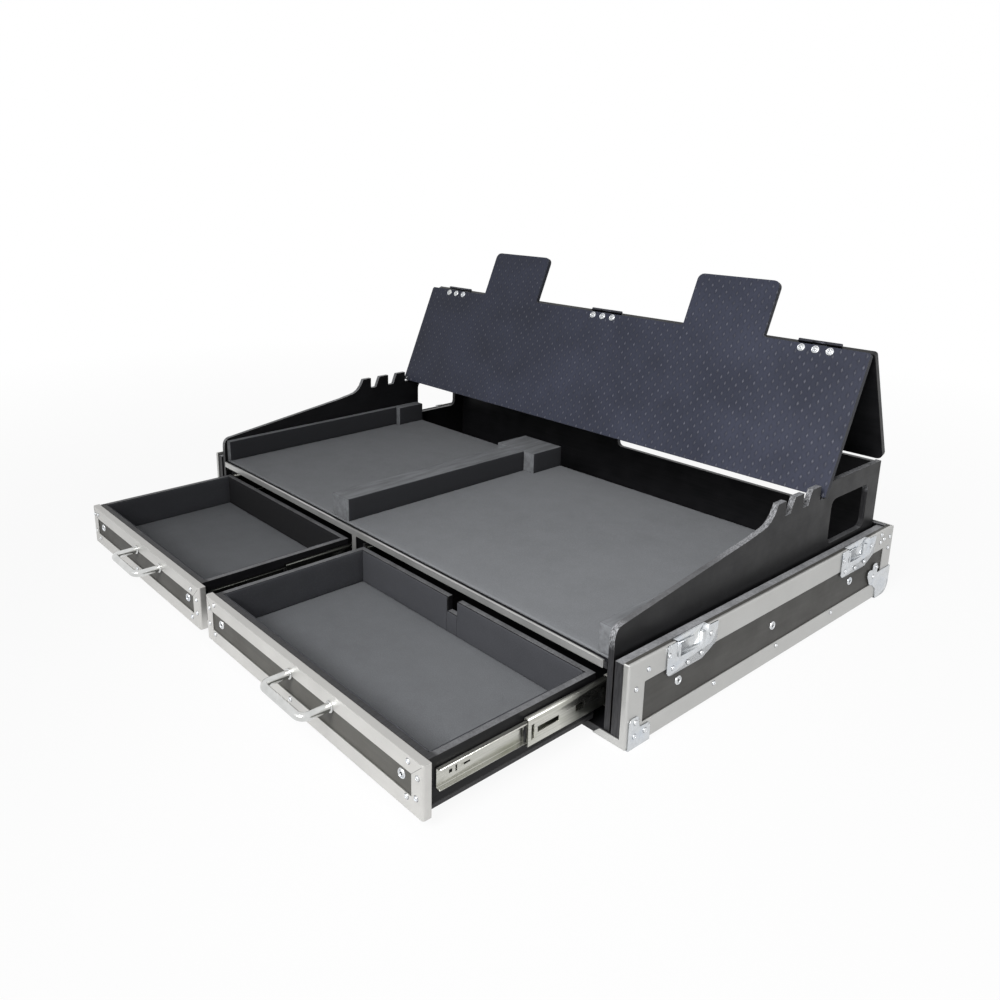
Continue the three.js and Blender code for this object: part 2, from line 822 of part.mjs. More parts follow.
// Edging strip on the deck's front edge, with the divider's strip hanging from it
function frontEdging() {
  const half = bayHalf - deckEdgingInset;
  const foot = deckTop + shellInset - deckEdging;
  const top = deckTop + shellInset;
  const strip = block([-half, half], [0, edgingSheet], [foot, top]);
  const lip = block([-half, half], [0, deckEdgingLip], [top - edgingSheet, top]);
  const stripHalf = dividerStrip / 2;
  const stripAcross = [dividerOffset - stripHalf, dividerOffset + stripHalf];
  const hanging = block(stripAcross, [0, edgingSheet], [boardFoot, top]);
  return join(strip, lip, hanging);
}

// Bar of foam with its wider rear block; margin is added all round where the bar's seat is cut
function foamBar(place, up, margin) {
  const { bar, rear, rearDepth } = foamBars[place];
  const stretch = ([left, right], front) => {
    return block([left - margin, right + margin], [front - margin, deckRear + margin], up);
  };
  return join(stretch(bar, deckFoamSetback), stretch(rear, deckRear - rearDepth));
}

// Drawers
function drawerSizes(side) {
  if (side === "left") {
    return {
      box: [slideInset - cabinetInner, dividerLeft - slideInset],
      front: [frontEndGap - cabinetInner, dividerOffset - leftFrontGap],
    };
  }
  return {
    box: [dividerRight + slideInset, cabinetInner - slideInset],
    front: [dividerOffset + rightFrontGap, cabinetInner - frontEndGap],
  };
}

function frontFrame([left, right]) {
  const plan = outline([
    [left, drawerFace, frontRadius],
    [right, drawerFace, frontRadius],
    [right, drawerFace + frontThickness],
    [left, drawerFace + frontThickness],
  ]);
  const room = block(
    [left + edgingSheet, right - edgingSheet],
    [drawerFace + edgingSheet, drawerFace + frontThickness + overrun],
    [frontFoot + edgingSheet, frontTop - edgingSheet],
  );
  const window = block(
    [left + frontFlange, right - frontFlange],
    [drawerFace - overrun, drawerFace + frontThickness],
    [frontFoot + frontFlange, frontTop - frontFlange],
  );
  return cut(alongZ(plan, [frontFoot, frontTop]), room, window);
}

function frontPanel([left, right]) {
  return block(
    [left + shellInset, right - shellInset],
    [drawerFace + shellInset, drawerFace + frontThickness],
    [frontFoot + shellInset, frontTop - shellInset],
  );
}

// Room for the cable that comes through the rear wall of the right drawer
function cableNotch([, right]) {
  const edge = right - cableNotchFromEnd;
  return block(
    [edge - cableNotchWidth, edge],
    [boxRear - boxWall - liningThickness - overrun, boxRear + overrun],
    [boxTop - cableNotchDepth, boxTop + overrun],
  );
}

function drawerBox([left, right]) {
  const walls = block([left, right], [boxFront, boxRear], [boxFoot, boxTop]);
  const room = block(
    [left + boxWall, right - boxWall],
    [boxFront + boxWall, boxRear - boxWall],
    [boxFoot - overrun, boxTop + overrun],
  );
  return cut(walls, room);
}

function drawerBottom([left, right]) {
  const along = [drawerFace + boxBottomSetback, boxRear];
  return block([left, right], along, [boxBottomFoot, boxBottomFoot + boxBottom]);
}

function drawerLining([left, right]) {
  const inset = boxWall + clearance;
  const wall = inset + liningThickness;
  const sheet = block([left + inset, right - inset], [boxFront + inset, boxRear - inset], [boxFoot, boxTop]);
  const room = block(
    [left + wall, right - wall],
    [boxFront + wall, boxRear - wall],
    [boxFoot + liningThickness, boxTop + overrun],
  );
  return cut(sheet, room);
}

function drawerHandle([left, right]) {
  const middle = (left + right) / 2 + handleOffset;
  const half = handleSpacing / 2;
  const foot = drawerFace - clearance;
  const tip = foot - handleReach;
  const at = (x, y) => new THREE.Vector3(x, y, handleHeight);
  const path = new THREE.CurvePath();
  const leftX = middle - half;
  const rightX = middle + half;
  const bends = [
    [at(leftX, tip + handleBend), at(leftX, tip), at(leftX + handleBend, tip)],
    [at(rightX - handleBend, tip), at(rightX, tip), at(rightX, tip + handleBend)],
  ];
  path.add(new THREE.LineCurve3(at(leftX, foot), bends[0][0]));
  path.add(new THREE.QuadraticBezierCurve3(...bends[0]));
  path.add(new THREE.LineCurve3(bends[0][2], bends[1][0]));
  path.add(new THREE.QuadraticBezierCurve3(...bends[1]));
  path.add(new THREE.LineCurve3(bends[1][2], at(rightX, foot)));
  const section = new THREE.Shape();
  section.absarc(0, 0, handleRadius, 0, 2 * Math.PI);
  const wire = new THREE.ExtrudeGeometry(section, {
    extrudePath: path,
    steps: handleSteps,
    curveSegments: handleSides,
  });
  return solidOf(wire);
}

// Slides. A section is drawn from the face that carries the slide (0) towards the drawer.
function channel([back, front], height, lip) {
  const half = height / 2;
  const sheet = slideSheet;
  const inward = Math.sign(front - back) * sheet;
  const corners = [
    [back, half, slideBend],
    [front, half, slideBend / 2],
    [front, half - lip],
    [front - inward, half - lip],
    [front - inward, half - sheet],
    [back + inward, half - sheet, slideBend - sheet],
  ];
  const lower = corners.map(([across, up, radius]) => [across, -up, radius]).reverse();
  return [...corners, ...lower];
}

function slideChannel(face, toDrawer, span, height, lip, along) {
  const place = (depth) => face + toDrawer * (clearance + depth);
  const corners = channel(span.map(place), height, lip);
  const raised = corners.map(([across, up, radius]) => [across, slideHeight + up, radius]);
  return alongY(outline(raised), along);
}

function slideWindow(face, toDrawer, [front, length], height) {
  const ends = [face, face + toDrawer * slideSpace];
  const across = [Math.min(...ends), Math.max(...ends)];
  return block(across, [front, front + length], [slideHeight - height / 2, slideHeight + height / 2]);
}

function outerSlide(face, toDrawer) {
  const span = [0, outerChannelWidth];
  const along = [outerSetback, outerSetback + slideLength];
  return slideChannel(face, toDrawer, span, outerChannelHeight, channelLip, along);
}

// One row of balls in its cage strip, seated in the middle channel's race
function ballRow(face, toDrawer, depth, height, radius, start) {
  const x = face + toDrawer * (clearance + depth);
  const z = slideHeight + height;
  const along = [start, start + ballRowLength];
  const cage = block(
    [x - cageWidth / 2, x + cageWidth / 2],
    along,
    [z - cageThickness / 2, z + cageThickness / 2],
  );
  let row = cage;
  for (let place = 0; place < ballsPerRow; place += 1) {
    const y = start + ((place + 1 / 2) * ballRowLength) / ballsPerRow;
    row = join(row, ball(radius, [x, y, z]));
  }
  return row;
}

function middleSlide(face, toDrawer) {
  const span = [middleChannelInset, middleChannelInset + middleChannelWidth];
  const front = drawerFace / 2 + outerSetback;
  const along = [front, front + slideLength];
  let slide = slideChannel(face, toDrawer, span, middleChannelHeight, channelLip, along);
  slide = cut(
    slide,
    slideWindow(face, toDrawer, [front + middleSlotSetback, middleSlotLength], middleSlotHeight),
    slideWindow(face, toDrawer, [front + middleWindowSetback, middleWindowLength], middleWindowHeight),
    slideWindow(face, toDrawer, [front + middlePortSetback, middlePortLength], middlePortHeight),
  );
  const outerGap = (outerChannelHeight - middleChannelHeight) / 2 - slideSheet;
  const innerGap = (middleChannelHeight - innerChannelHeight) / 2 - slideSheet;
  const outerBall = (outerGap - clearance + ballBite) / 2;
  const innerBall = (innerGap - clearance + ballBite) / 2;
  const outerHeight = middleChannelHeight / 2 - ballBite + outerBall;
  const innerHeight = innerChannelHeight / 2 + clearance + innerBall;
  const depth = middleChannelInset + middleChannelWidth / 2;
  const outerStart = outerSetback + ballRowSetback;
  const innerStart = front + ballRowSetback;
  for (const side of [-1, 1]) {
    const outerDepth = depth - slideSheet;
    slide = join(slide, ballRow(face, toDrawer, outerDepth, side * outerHeight, outerBall, outerStart));
    slide = join(slide, ballRow(face, toDrawer, depth, side * innerHeight, innerBall, innerStart));
  }
  return slide;
}

function innerSlide(face, toDrawer) {
  const span = [slideThickness, slideThickness - innerChannelWidth];
  const front = drawerFace + innerSetback;
  const along = [front, front + slideLength];
  const slide = slideChannel(face, toDrawer, span, innerChannelHeight, slideSheet, along);
  return cut(
    slide,
    slideWindow(face, toDrawer, [front + innerScrewSetback, innerScrewHole], innerScrewHole),
    slideWindow(face, toDrawer, [front + innerSlotSetback, innerSlotWidth], innerSlotHeight),
    slideWindow(face, toDrawer, [front + innerOblongSetback, innerOblongLength], innerOblongHeight),
  );
}

// Stand, drawn with the hinge pin at the origin and each leaf hanging straight down
function frontLeaf() {
  const half = standHalf;
  const foot = -pinToFoot;
  const ridge = -pinAboveBoards;
  const top = ridge + tabRise;
  const tabs = [-tabOffset, tabOffset].map((middle) => [middle - tabWidth / 2, middle + tabWidth / 2]);
  const edge = [];
  for (const [left, right] of tabs) {
    edge.push([left, ridge, tabRootRadius]);
    edge.push([left, top, standRadius]);
    edge.push([right, top, standRadius]);
    edge.push([right, ridge, tabRootRadius]);
  }
  const corners = [
    [half, foot],
    [-half, foot],
    [-half, ridge, tabRootRadius],
    ...edge,
    [half, ridge, tabRootRadius],
  ];
  return alongY(outline(corners), [-standBoard, 0]);
}

function rearLeaf() {
  const half = standHalf;
  const tip = -rearLeafReach;
  const foot = tip + standFootHeight;
  const board = alongY(
    outline([
      [-half, foot, standRadius],
      [half, foot, standRadius],
      [half, -pinAboveBoards, tabRootRadius],
      [-half, -pinAboveBoards, tabRootRadius],
    ]),
    [0, standBoard],
  );
  const feet = [-standFootOffset, standFootOffset].map((middle) => {
    const across = [middle - standFootWidth / 2, middle + standFootWidth / 2];
    return block(across, [0, standBoard], [tip, foot + standRadius]);
  });
  return join(board, ...feet);
}

function hingeReliefHeight() {
  return (clearance + hingeSheet) / Math.tan(standTilt) + knuckleRadius / 2;
}

function hingeKnuckle([left, right]) {
  return rodAcross(knuckleRadius, [left, right], 0, 0);
}

// Front hinge leaf: plate behind the front board, with the middle knuckle and the pin
function frontHinge(middle) {
  const half = hingeWidth / 2;
  const knuckleHalf = hingeWidth * (knuckleShare / 2) - clearance;
  const across = [clearance, clearance + hingeSheet];
  const foot = -pinAboveBoards - hingeLeaf;
  const plate = block([middle - half, middle + half], across, [foot, -hingeReliefHeight()]);
  const neck = block([middle - knuckleHalf, middle + knuckleHalf], across, [foot, 0]);
  const pin = rodAcross(pinRadius, [middle - half, middle + half], 0, 0);
  return join(plate, neck, hingeKnuckle([middle - knuckleHalf, middle + knuckleHalf]), pin);
}

// Rear hinge leaf: plate in front of the rear board, with the two end knuckles bored for the pin
function rearHinge(middle) {
  const half = hingeWidth / 2;
  const knuckleHalf = hingeWidth * (knuckleShare / 2);
  const across = [-clearance - hingeSheet, -clearance];
  const foot = -pinAboveBoards - hingeLeaf;
  const bore = rodAcross(pinRadius + clearance, [middle - half - overrun, middle + half + overrun], 0, 0);
  let hinge = block([middle - half, middle + half], across, [foot, -hingeReliefHeight()]);
  for (const ends of [[middle - half, middle - knuckleHalf], [middle + knuckleHalf, middle + half]]) {
    hinge = join(hinge, block(ends, across, [foot, 0]), hingeKnuckle(ends));
  }
  return cut(hinge, bore);
}

// Assembly
function addTray(model) {
  const shell = edgingShell();
  const rails = backRails(shell);
  model.add(piece("floor_board", floorBoard(), blackPly));
  model.add(piece("back_wall", backWall(), blackPly));
  model.add(piece("back_rail_top", rails.top, aluminium));
  model.add(piece("back_rail_bottom", rails.bottom, aluminium));
  const wall = sideWall();
  const liner = sideLiner();
  const frame = sideFrame(shell);
  const brace = cornerBrace();
  const corner = ballCorner();
  const strikes = strikePlaces.map(latchStrike);
  for (const side of ["right", "left"]) {
    const mirrored = side === "left";
    model.add(piece(`side_wall_${side}`, wall, laminate, mirrored));
    model.add(piece(`side_liner_${side}`, liner, blackPly, mirrored));
    model.add(piece(`side_frame_${side}`, frame, aluminium, mirrored));
    model.add(piece(`corner_brace_${side}`, brace, zinc, mirrored));
    model.add(piece(`ball_corner_${side}`, corner, zinc, mirrored));
    model.add(piece(`latch_strike_front_${side}`, strikes[0], zinc, mirrored));
    model.add(piece(`latch_strike_rear_${side}`, strikes[1], zinc, mirrored));
  }
}

function addCabinet(model) {
  const side = cabinetSide();
  model.add(piece("cabinet_side_right", side, blackPly));
  model.add(piece("cabinet_side_left", side, blackPly, true));
  model.add(piece("cabinet_back", cabinetBack(), blackPly));
  model.add(piece("deck_board", deckBoard(), blackPly));
  model.add(piece("deck_foam", deckSheet(), deckFoamLook));
  model.add(piece("drawer_divider", divider(), blackPly));
  model.add(piece("front_edging", frontEdging(), aluminium));
  for (const place of Object.keys(foamBars)) {
    const bar = foamBar(place, [barFoot, barFoot + foamBarHeight], 0);
    model.add(piece(`foam_bar_${place}`, bar, darkFoamLook));
  }
}

function addDrawer(model, side) {
  const { box, front } = drawerSizes(side);
  let walls = drawerBox(box);
  let lining = drawerLining(box);
  if (side === "right") {
    walls = cut(walls, cableNotch(box));
    lining = cut(lining, cableNotch(box));
  }
  model.add(piece(`drawer_frame_${side}`, frontFrame(front), aluminium));
  model.add(piece(`drawer_panel_${side}`, frontPanel(front), drawerLaminate));
  model.add(piece(`drawer_box_${side}`, walls, blackPly));
  model.add(piece(`drawer_bottom_${side}`, drawerBottom(box), blackPly));
  model.add(piece(`drawer_lining_${side}`, lining, darkFoamLook));
  model.add(piece(`drawer_handle_${side}`, drawerHandle(front), bareSteel));
}

function addSlides(model) {
  const bays = [
    ["left_outside", packing - cabinetInner, 1],
    ["left_inside", dividerLeft - packing, -1],
    ["right_inside", dividerRight + packing, 1],
    ["right_outside", cabinetInner - packing, -1],
  ];
  for (const [place, face, toDrawer] of bays) {
    model.add(piece(`slide_outer_${place}`, outerSlide(face, toDrawer), zinc));
    model.add(piece(`slide_middle_${place}`, middleSlide(face, toDrawer), zinc));
    model.add(piece(`slide_inner_${place}`, innerSlide(face, toDrawer), zinc));
  }
}

function addStand(model) {
  const stand = new THREE.Group();
  stand.position.set(0, pinPlace.y, pinPlace.z);
  const front = new THREE.Group();
  front.rotation.x = -standTilt;
  const rear = new THREE.Group();
  rear.rotation.x = standTilt;
  front.add(piece("stand_front", frontLeaf(), standPly));
  rear.add(piece("stand_rear", rearLeaf(), blackPly));
  const hinges = [["left", -hingeOffset], ["middle", 0], ["right", hingeOffset]];
  for (const [place, middle] of hinges) {
    front.add(piece(`hinge_front_${place}`, frontHinge(middle), zinc));
    rear.add(piece(`hinge_rear_${place}`, rearHinge(middle), zinc));
  }
  stand.add(front, rear);
  model.add(stand);
}

function roadCase() {
  const model = new THREE.Group();
  addTray(model);
  addCabinet(model);
  addDrawer(model, "left");
  addDrawer(model, "right");
  addSlides(model);
  addStand(model);
  model.position.y = -(caseFront + caseRear) / 2;
  return model;
}

export default roadCase();
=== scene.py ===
"""Road case with drawers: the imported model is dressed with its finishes, foam, fasteners and handles."""

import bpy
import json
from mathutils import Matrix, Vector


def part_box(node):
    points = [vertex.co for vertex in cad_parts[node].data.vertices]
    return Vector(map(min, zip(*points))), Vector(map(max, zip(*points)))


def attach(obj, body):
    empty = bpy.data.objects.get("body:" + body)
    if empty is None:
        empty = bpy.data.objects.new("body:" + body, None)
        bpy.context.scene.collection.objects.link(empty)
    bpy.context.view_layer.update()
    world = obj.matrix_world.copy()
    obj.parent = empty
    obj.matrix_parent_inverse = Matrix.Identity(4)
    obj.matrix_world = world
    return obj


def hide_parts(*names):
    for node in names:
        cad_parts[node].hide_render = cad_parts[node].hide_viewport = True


bl_info = {
    "name": "Road case with drawers",
    "version": (1, 0, 0),
    "blender": (4, 5, 0),
    "location": "View3D > Sidebar > Road case",
    "description": "Dresses the packed road case: finishes, foam, fasteners, pull handles and the studio",
    "category": "Object",
}

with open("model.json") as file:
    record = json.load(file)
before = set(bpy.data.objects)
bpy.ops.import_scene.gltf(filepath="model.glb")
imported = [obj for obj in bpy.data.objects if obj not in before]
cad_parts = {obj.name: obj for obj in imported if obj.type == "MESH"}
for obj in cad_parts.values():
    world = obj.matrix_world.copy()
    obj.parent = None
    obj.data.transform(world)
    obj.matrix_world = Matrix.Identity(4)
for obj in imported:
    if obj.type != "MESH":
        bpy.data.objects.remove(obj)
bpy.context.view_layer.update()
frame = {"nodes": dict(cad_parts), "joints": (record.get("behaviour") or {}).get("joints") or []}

import json
import math

import bmesh
import bpy
from bmesh.types import BMEdge, BMFace, BMVert
from bpy.props import FloatProperty, FloatVectorProperty, IntProperty
from mathutils import Matrix, Vector, noise

MM = 0.001
SIGNS = {"left": -1, "right": 1}
SIDES = tuple(SIGNS)
HALVES = ("outside", "inside")
HINGES = ("left", "middle", "right")
AXES = {"x": 0, "y": 1, "z": 2}
# Vertices closer together than this are one
WELD = 1e-6


def both(name):
    """The left and the right one of a pair of nodes."""
    return [f"{name}_{side}" for side in SIDES]


# Colours
def linear(value):
    """One channel of a written colour as scene linear light."""
    if value <= 0.04045:
        return value / 12.92
    return ((value + 0.055) / 1.055) ** 2.4


def tint(code):
    """A written colour such as 0xBDBDBB as scene linear red, green, blue."""
    return tuple(linear((code >> shift & 255) / 255) for shift in (16, 8, 0))


def opaque(colour, *gains):
    """A colour with full alpha, made lighter or darker by one gain for all channels or by one for each."""
    if len(gains) < 3:
        gains = (gains or (1,)) * 3
    return tuple(min(channel * gain, 1.0) for channel, gain in zip(colour, gains)) + (1.0,)


def colour_property(name, description, code):
    return FloatVectorProperty(name=name, description=description, subtype="COLOR", default=tint(code),
                               min=0, max=1)


def length_property(name, description, millimetres):
    return FloatProperty(name=name, description=description, default=millimetres * MM, min=0, unit="LENGTH")


def angle_property(name, description, degrees):
    return FloatProperty(name=name, description=description, default=math.radians(degrees), subtype="ANGLE")


# Sizes and colours that a user would change
class CaseFinishes(bpy.types.PropertyGroup):
    edging: colour_property("Edging", "Satin aluminium of the edging", 0xC3C3C1)
    # A lighter copy of the edging colour, painted as the lit fronts of the drawers
    front_edging: colour_property("Drawer edging", "Brighter aluminium round the drawer fronts", 0xD1D0CD)
    zinc: colour_property("Zinc plate", "Zinc plate of strikes and corners", 0xCED1D4)
    fasteners: colour_property("Fasteners", "Bright plate of rivets, cup washers and screws", 0xDCDEE0)
    hinge_leaf: colour_property("Hinge leaves", "Blackened leaves of the stand's hinges", 0x393A40)
    slides: colour_property("Slides", "Zinc plate of the drawer slides", 0xC6C6BF)
    # Painted shade: a dark copy of the slide steel, laid on the slides between the drawers and on the
    # runners' rear
    greased: colour_property("Greased slides", "Dark film of grease on the slides", 0x383936)
    # Painted shade: this dark colour is also laid round the rivets' feet and on the floor of the screws'
    # recesses
    grime: colour_property("Grime", "Grime round the rivets and in the seams", 0x4A4A4C)
    bright_bar: colour_property("Handle bar", "Polished bar of the pull handles", 0xD2D3D2)
    tray_laminate: colour_property("Tray laminate", "Laminate on the tray's walls", 0x4D4C49)
    drawer_laminate: colour_property("Drawer laminate", "Laminate on the drawer fronts", 0x51504C)
    black_ply: colour_property("Black plywood", "Stain on the cabinet's boards", 0x18181A)
    bare_edge: colour_property("Worn edge", "Plywood where the stain has rubbed off", 0x56524B)
    cut_edge: colour_property("Cut edge", "Stained cut edges of the boards", 0x3C3C3E)
    ledge: colour_property("Ledge", "Rubbed top of the tray's liners and drawer walls", 0x9C9DA0)
    stand_ply: colour_property("Stand plywood", "Film on the stand's anti-slip board", 0x393C4A)
    # Painted highlight: this lighter colour is laid on the raised grains as their glint, and rubbed onto the
    # board's edges
    dimple: colour_property("Dimples", "Raised dimples of the anti-slip board", 0x5C5E69)
    # Also painted on the foam bars' tops and ends as their lit faces
    deck_foam: colour_property("Deck foam", "Foam sheet on the deck, and dust on the foam bars", 0x7B7D80)
    floor_foam: colour_property("Drawer foam", "Foam sheet on the drawer floors", 0x6D6F72)
    dark_foam: colour_property("Dark foam", "Foam bars and drawer walls", 0x434448)


class FoamSizes(bpy.types.PropertyGroup):
    rounding: length_property("Rounding", "Radius of the cut foam's edges", 1.6)
    lining: length_property("Lining", "Thickness of the drawer lining", 3)
    ripple: length_property("Ripple", "How uneven the foam's faces are", 0.35)
    cell: length_property("Grid", "Spacing of the grid that carries the unevenness", 14)


class FastenerSizes(bpy.types.PropertyGroup):
    rivet: length_property("Rivet head", "Radius of a rivet's head", 3.3)
    rivet_rise: length_property("Rivet rise", "Height of a rivet's head", 1.9)
    # Painted shade: the ring round a rivet's foot
    grime: length_property("Grime ring", "Width of the grime round a rivet", 0.6)
    cup: length_property("Cup washer", "Radius of a cup washer", 6.9)
    cup_rise: length_property("Cup rise", "Height of a cup washer", 2)
    turns: IntProperty(name="Sides", description="Sides of a rivet's head", default=14, min=6, max=32)


class HandleSizes(bpy.types.PropertyGroup):
    radius: length_property("Bar radius", "Radius of the handle's bar", 5.8)
    bend: length_property("Bend", "Radius of the bar's bends", 12)
    foot: length_property("Foot", "Width of the collar round the bar's foot", 2.2)
    sides: IntProperty(name="Sides", description="Sides of the bar", default=20, min=8, max=48)


class StudioLooks(bpy.types.PropertyGroup):
    lens: FloatProperty(name="Lens", description="Focal length in millimetres", default=32.135, min=1)
    azimuth: angle_property("Azimuth", "Camera's bearing round the case", 51.70022)
    elevation: angle_property("Elevation", "Camera's height above the horizon", 15.10321)
    roll: angle_property("Roll", "Turn of the frame", -0.25299)
    shift_x: FloatProperty(name="Shift X", description="Framing across", default=0.0976)
    shift_y: FloatProperty(name="Shift Y", description="Framing up", default=-0.0913)
    eye: FloatVectorProperty(name="Camera place", description="Where the camera stands",
                             default=(1.161317, -1.030679, 0.726655), subtype="TRANSLATION", unit="LENGTH")
    key: FloatProperty(name="Key lamp", description="Power of the lamp at the front right", default=10.5,
                       min=0, unit="POWER")
    fill: FloatProperty(name="Fill lamp", description="Power of the lamp in front", default=4,
                        min=0, unit="POWER")
    sky: FloatProperty(name="Sky", description="Light from all round", default=0.2, min=0)


# The stand's lean and its two leaves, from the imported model
PIN = Vector(next(joint["pos_m"] for joint in frame["joints"] if joint["name"] == "stand_hinge"))
FOOT = min((vertex.co for vertex in frame["nodes"]["stand_front"].data.vertices), key=lambda place: place.z)
LEAN = math.atan2(PIN.y - FOOT.y, PIN.z - FOOT.z)
FRONT_LEAF, REAR_LEAF = (
    Matrix.Translation((0, PIN.y, PIN.z)) @ Matrix.Rotation(lean, 4, "X") for lean in (-LEAN, LEAN))


# Shader nodes
class Nodes:
    """The nodes of a material or of the world, made anew."""

    def __init__(self, owner):
        owner.use_nodes = True
        self.tree = owner.node_tree
        self.tree.nodes.clear()

    def feed(self, socket, value):
        """Links a socket to the one that is its value, or sets it."""
        if isinstance(value, bpy.types.NodeSocket):
            self.tree.links.new(value, socket)
        else:
            socket.default_value = value

    def add(self, kind, inputs=None, **settings):
        """Adds a shader node, with its settings and its inputs."""
        node = self.tree.nodes.new("ShaderNode" + kind)
        for key, value in settings.items():
            setattr(node, key, value)
        for key, value in (inputs or {}).items():
            self.feed(node.inputs[key], value)
        return node

    def maths(self, operation, *values):
        return self.add("Math", dict(enumerate(values)), operation=operation).outputs[0]

    def times(self, first, second):
        return self.maths("MULTIPLY", first, second)

    def measure(self, operation, *vectors):
        """A number from vectors, such as their distance or their dot product."""
        return self.add("VectorMath", dict(enumerate(vectors)), operation=operation).outputs["Value"]

    def parts(self, vector):
        return self.add("SeparateXYZ", {"Vector": vector}).outputs

    def place(self, stretch=(1, 1, 1), turn=(0, 0, 0), shift=(0, 0, 0)):
        """Object coordinates, stretched, turned and shifted."""
        source = self.add("TexCoord").outputs["Object"]
        inputs = {"Vector": source, "Scale": stretch, "Rotation": turn, "Location": shift}
        return self.add("Mapping", inputs).outputs["Vector"]

    def spread(self, value, low, high, to_low=0.0, to_high=1.0):
        """Maps low..high of a value to another range, and keeps it inside."""
        inputs = {"Value": value, "From Min": low, "From Max": high, "To Min": to_low, "To Max": to_high}
        return self.add("MapRange", inputs, clamp=True).outputs["Result"]

    def seen(self):
        """1 for what the camera sees, straight or in a reflection, and 0 for what lights the scene."""
        rays = self.add("LightPath").outputs
        indirect = self.maths("MAXIMUM", rays["Is Glossy Ray"], rays["Is Transmission Ray"])
        return self.maths("MAXIMUM", rays["Is Camera Ray"], indirect)


class Coat(Nodes):
    """A material while it is made: the colours in the sidebar, the patterns, and the shade so far."""

    # The cosines between which a face counts as looking along an axis, as level, and as bent at an edge
    along = (0.45, 0.8)
    level = (0.8, 0.97)
    bent = (1.0, 0.8)

    def __init__(self, name, looks):
        self.material = bpy.data.materials.new(name)
        super().__init__(self.material)
        self.looks = looks
        self.shade = None

    def clouds(self, scale, detail=4, rough=0.55, **placing):
        inputs = {"Vector": self.place(**placing), "Scale": scale, "Detail": detail, "Roughness": rough}
        return self.add("TexNoise", inputs).outputs["Fac"]

    def blend(self, share, first, second):
        return self.add("Mix", {"Factor": share, 6: first, 7: second}, data_type="RGBA").outputs[2]

    def shaded(self, value, low, high, colour, dark, light):
        """A colour that goes from a darker to a lighter gain with a value."""
        return self.blend(self.spread(value, low, high), opaque(colour, dark), opaque(colour, light))

    def lay(self, share, colour, *gains):
        """Lays a colour over the shade so far, by a share."""
        if not isinstance(colour, bpy.types.NodeSocket):
            colour = opaque(colour, *gains)
        self.shade = self.blend(share, self.shade, colour)

    def normal_parts(self):
        return self.parts(self.add("TexCoord").outputs["Normal"])

    def looking(self, axes):
        """1 on the faces that look along one of the axes, and 0 on those that look across them."""
        parts = self.normal_parts()
        shares = [self.maths("ABSOLUTE", parts[AXES[axis]]) for axis in axes]
        while len(shares) > 1:
            shares[:2] = [self.maths("MAXIMUM", *shares[:2])]
        return self.spread(shares[0], *self.along)

    def upward(self):
        """1 on the faces that look straight up."""
        return self.spread(self.normal_parts()["Z"], *self.level)

    def rounded(self, radius):
        """The normal of a surface whose edges look rounded, by a radius in millimetres."""
        return self.add("Bevel", {"Radius": radius * MM}, samples=6).outputs["Normal"]

    def edges(self, radius):
        """0 on a flat face and up to 1 on an edge."""
        flat = self.add("NewGeometry").outputs["Normal"]
        return self.spread(self.measure("DOT_PRODUCT", self.rounded(radius), flat), *self.bent)

    def bumped(self, height, depth, strength, rounding=None):
        """The normal of a surface with a relief, its depth and the rounding of its edges in millimetres."""
        inputs = {"Height": height, "Distance": depth * MM, "Strength": strength}
        if rounding is not None:
            inputs["Normal"] = self.rounded(rounding)
        return self.add("Bump", inputs).outputs["Normal"]

    def dress(self, **inputs):
        """Ends the material: the shade, and the shader's own inputs, named with underscores for spaces."""
        surface = self.add("BsdfPrincipled", {"Base Color": self.shade})
        for key, value in inputs.items():
            self.feed(surface.inputs[key.replace("_", " ")], value)
        self.add("OutputMaterial", {"Surface": surface.outputs["BSDF"]})


# Two ranges of a cloud's values, nearly all of them and the middle ones
WIDE = (0.3, 0.7)
MIDDLE = (0.35, 0.65)

# Where a finish changes on the model, in metres: from front to rear for the shade painted on the runners
# towards their rear and for the unworn front wall of the drawer boxes, and upwards for the side boards'
# foot, painted darker as shade, and their pale notches
REAR_SHADE = (-0.27, -0.23)
FRONT_WALL = (-0.465, -0.46)
SHADED_FOOT = (0.11, 0.25)
PALE_NOTCHES = (0.19, 0.2)
# Depth and height of the side boards' rubbed front shoulder, and how far the rubbing reaches, in metres
SHOULDER = (-0.183, 0.152)
SHOULDER_REACH = 0.022
# Width of the foam's pores, in metres
PORE = 0.0016
# The anti-slip board's grains, across and up its face: their pitch and their half length, in millimetres
GRAINS = (("X", 21.2, 1.9), ("Z", 13.3, 2.7))
# The distances from a grain's middle, in half lengths, between which the grain, painted lighter as a
# highlight, and its valley, painted darker as shade, begin
GRAIN_RIM = (1.3, 0.4)
VALLEY_SHADE_RIM = (2.6, 1.4)


def drawn(axis, across, along):
    """The stretch that draws a pattern out along one axis."""
    stretch = [across] * 3
    stretch[AXES[axis]] = along
    return stretch


# Finishes
def satin_aluminium(coat, colour, grain, shaded_top=0.0):
    """Extruded aluminium: soft haze, faint drawn lines along one axis, a few scuffs, and a top that may be
    painted darker as shade."""
    lines = coat.clouds(1, 2, stretch=drawn(grain, 700, 5))
    haze = coat.clouds(14)
    scuffs = coat.spread(coat.clouds(230, 6, 0.7), 0.62, 0.72)
    coat.shade = coat.shaded(haze, *WIDE, colour, 0.93, 1.06)
    coat.lay(coat.spread(lines, *MIDDLE, 0.0, 0.06), colour, 0.8)
    coat.lay(coat.times(scuffs, 0.3), colour, 0.55)
    # Painted shade: the top faces are laid darker
    if shaded_top > 0:
        coat.lay(coat.times(coat.upward(), shaded_top), colour, 0.5)
    rough = coat.maths("ADD", coat.spread(haze, *WIDE, 0.34, 0.46), coat.times(scuffs, 0.12))
    coat.dress(Metallic=0.75, Roughness=rough, Normal=coat.bumped(lines, 0.03, 0.12, 1.1))


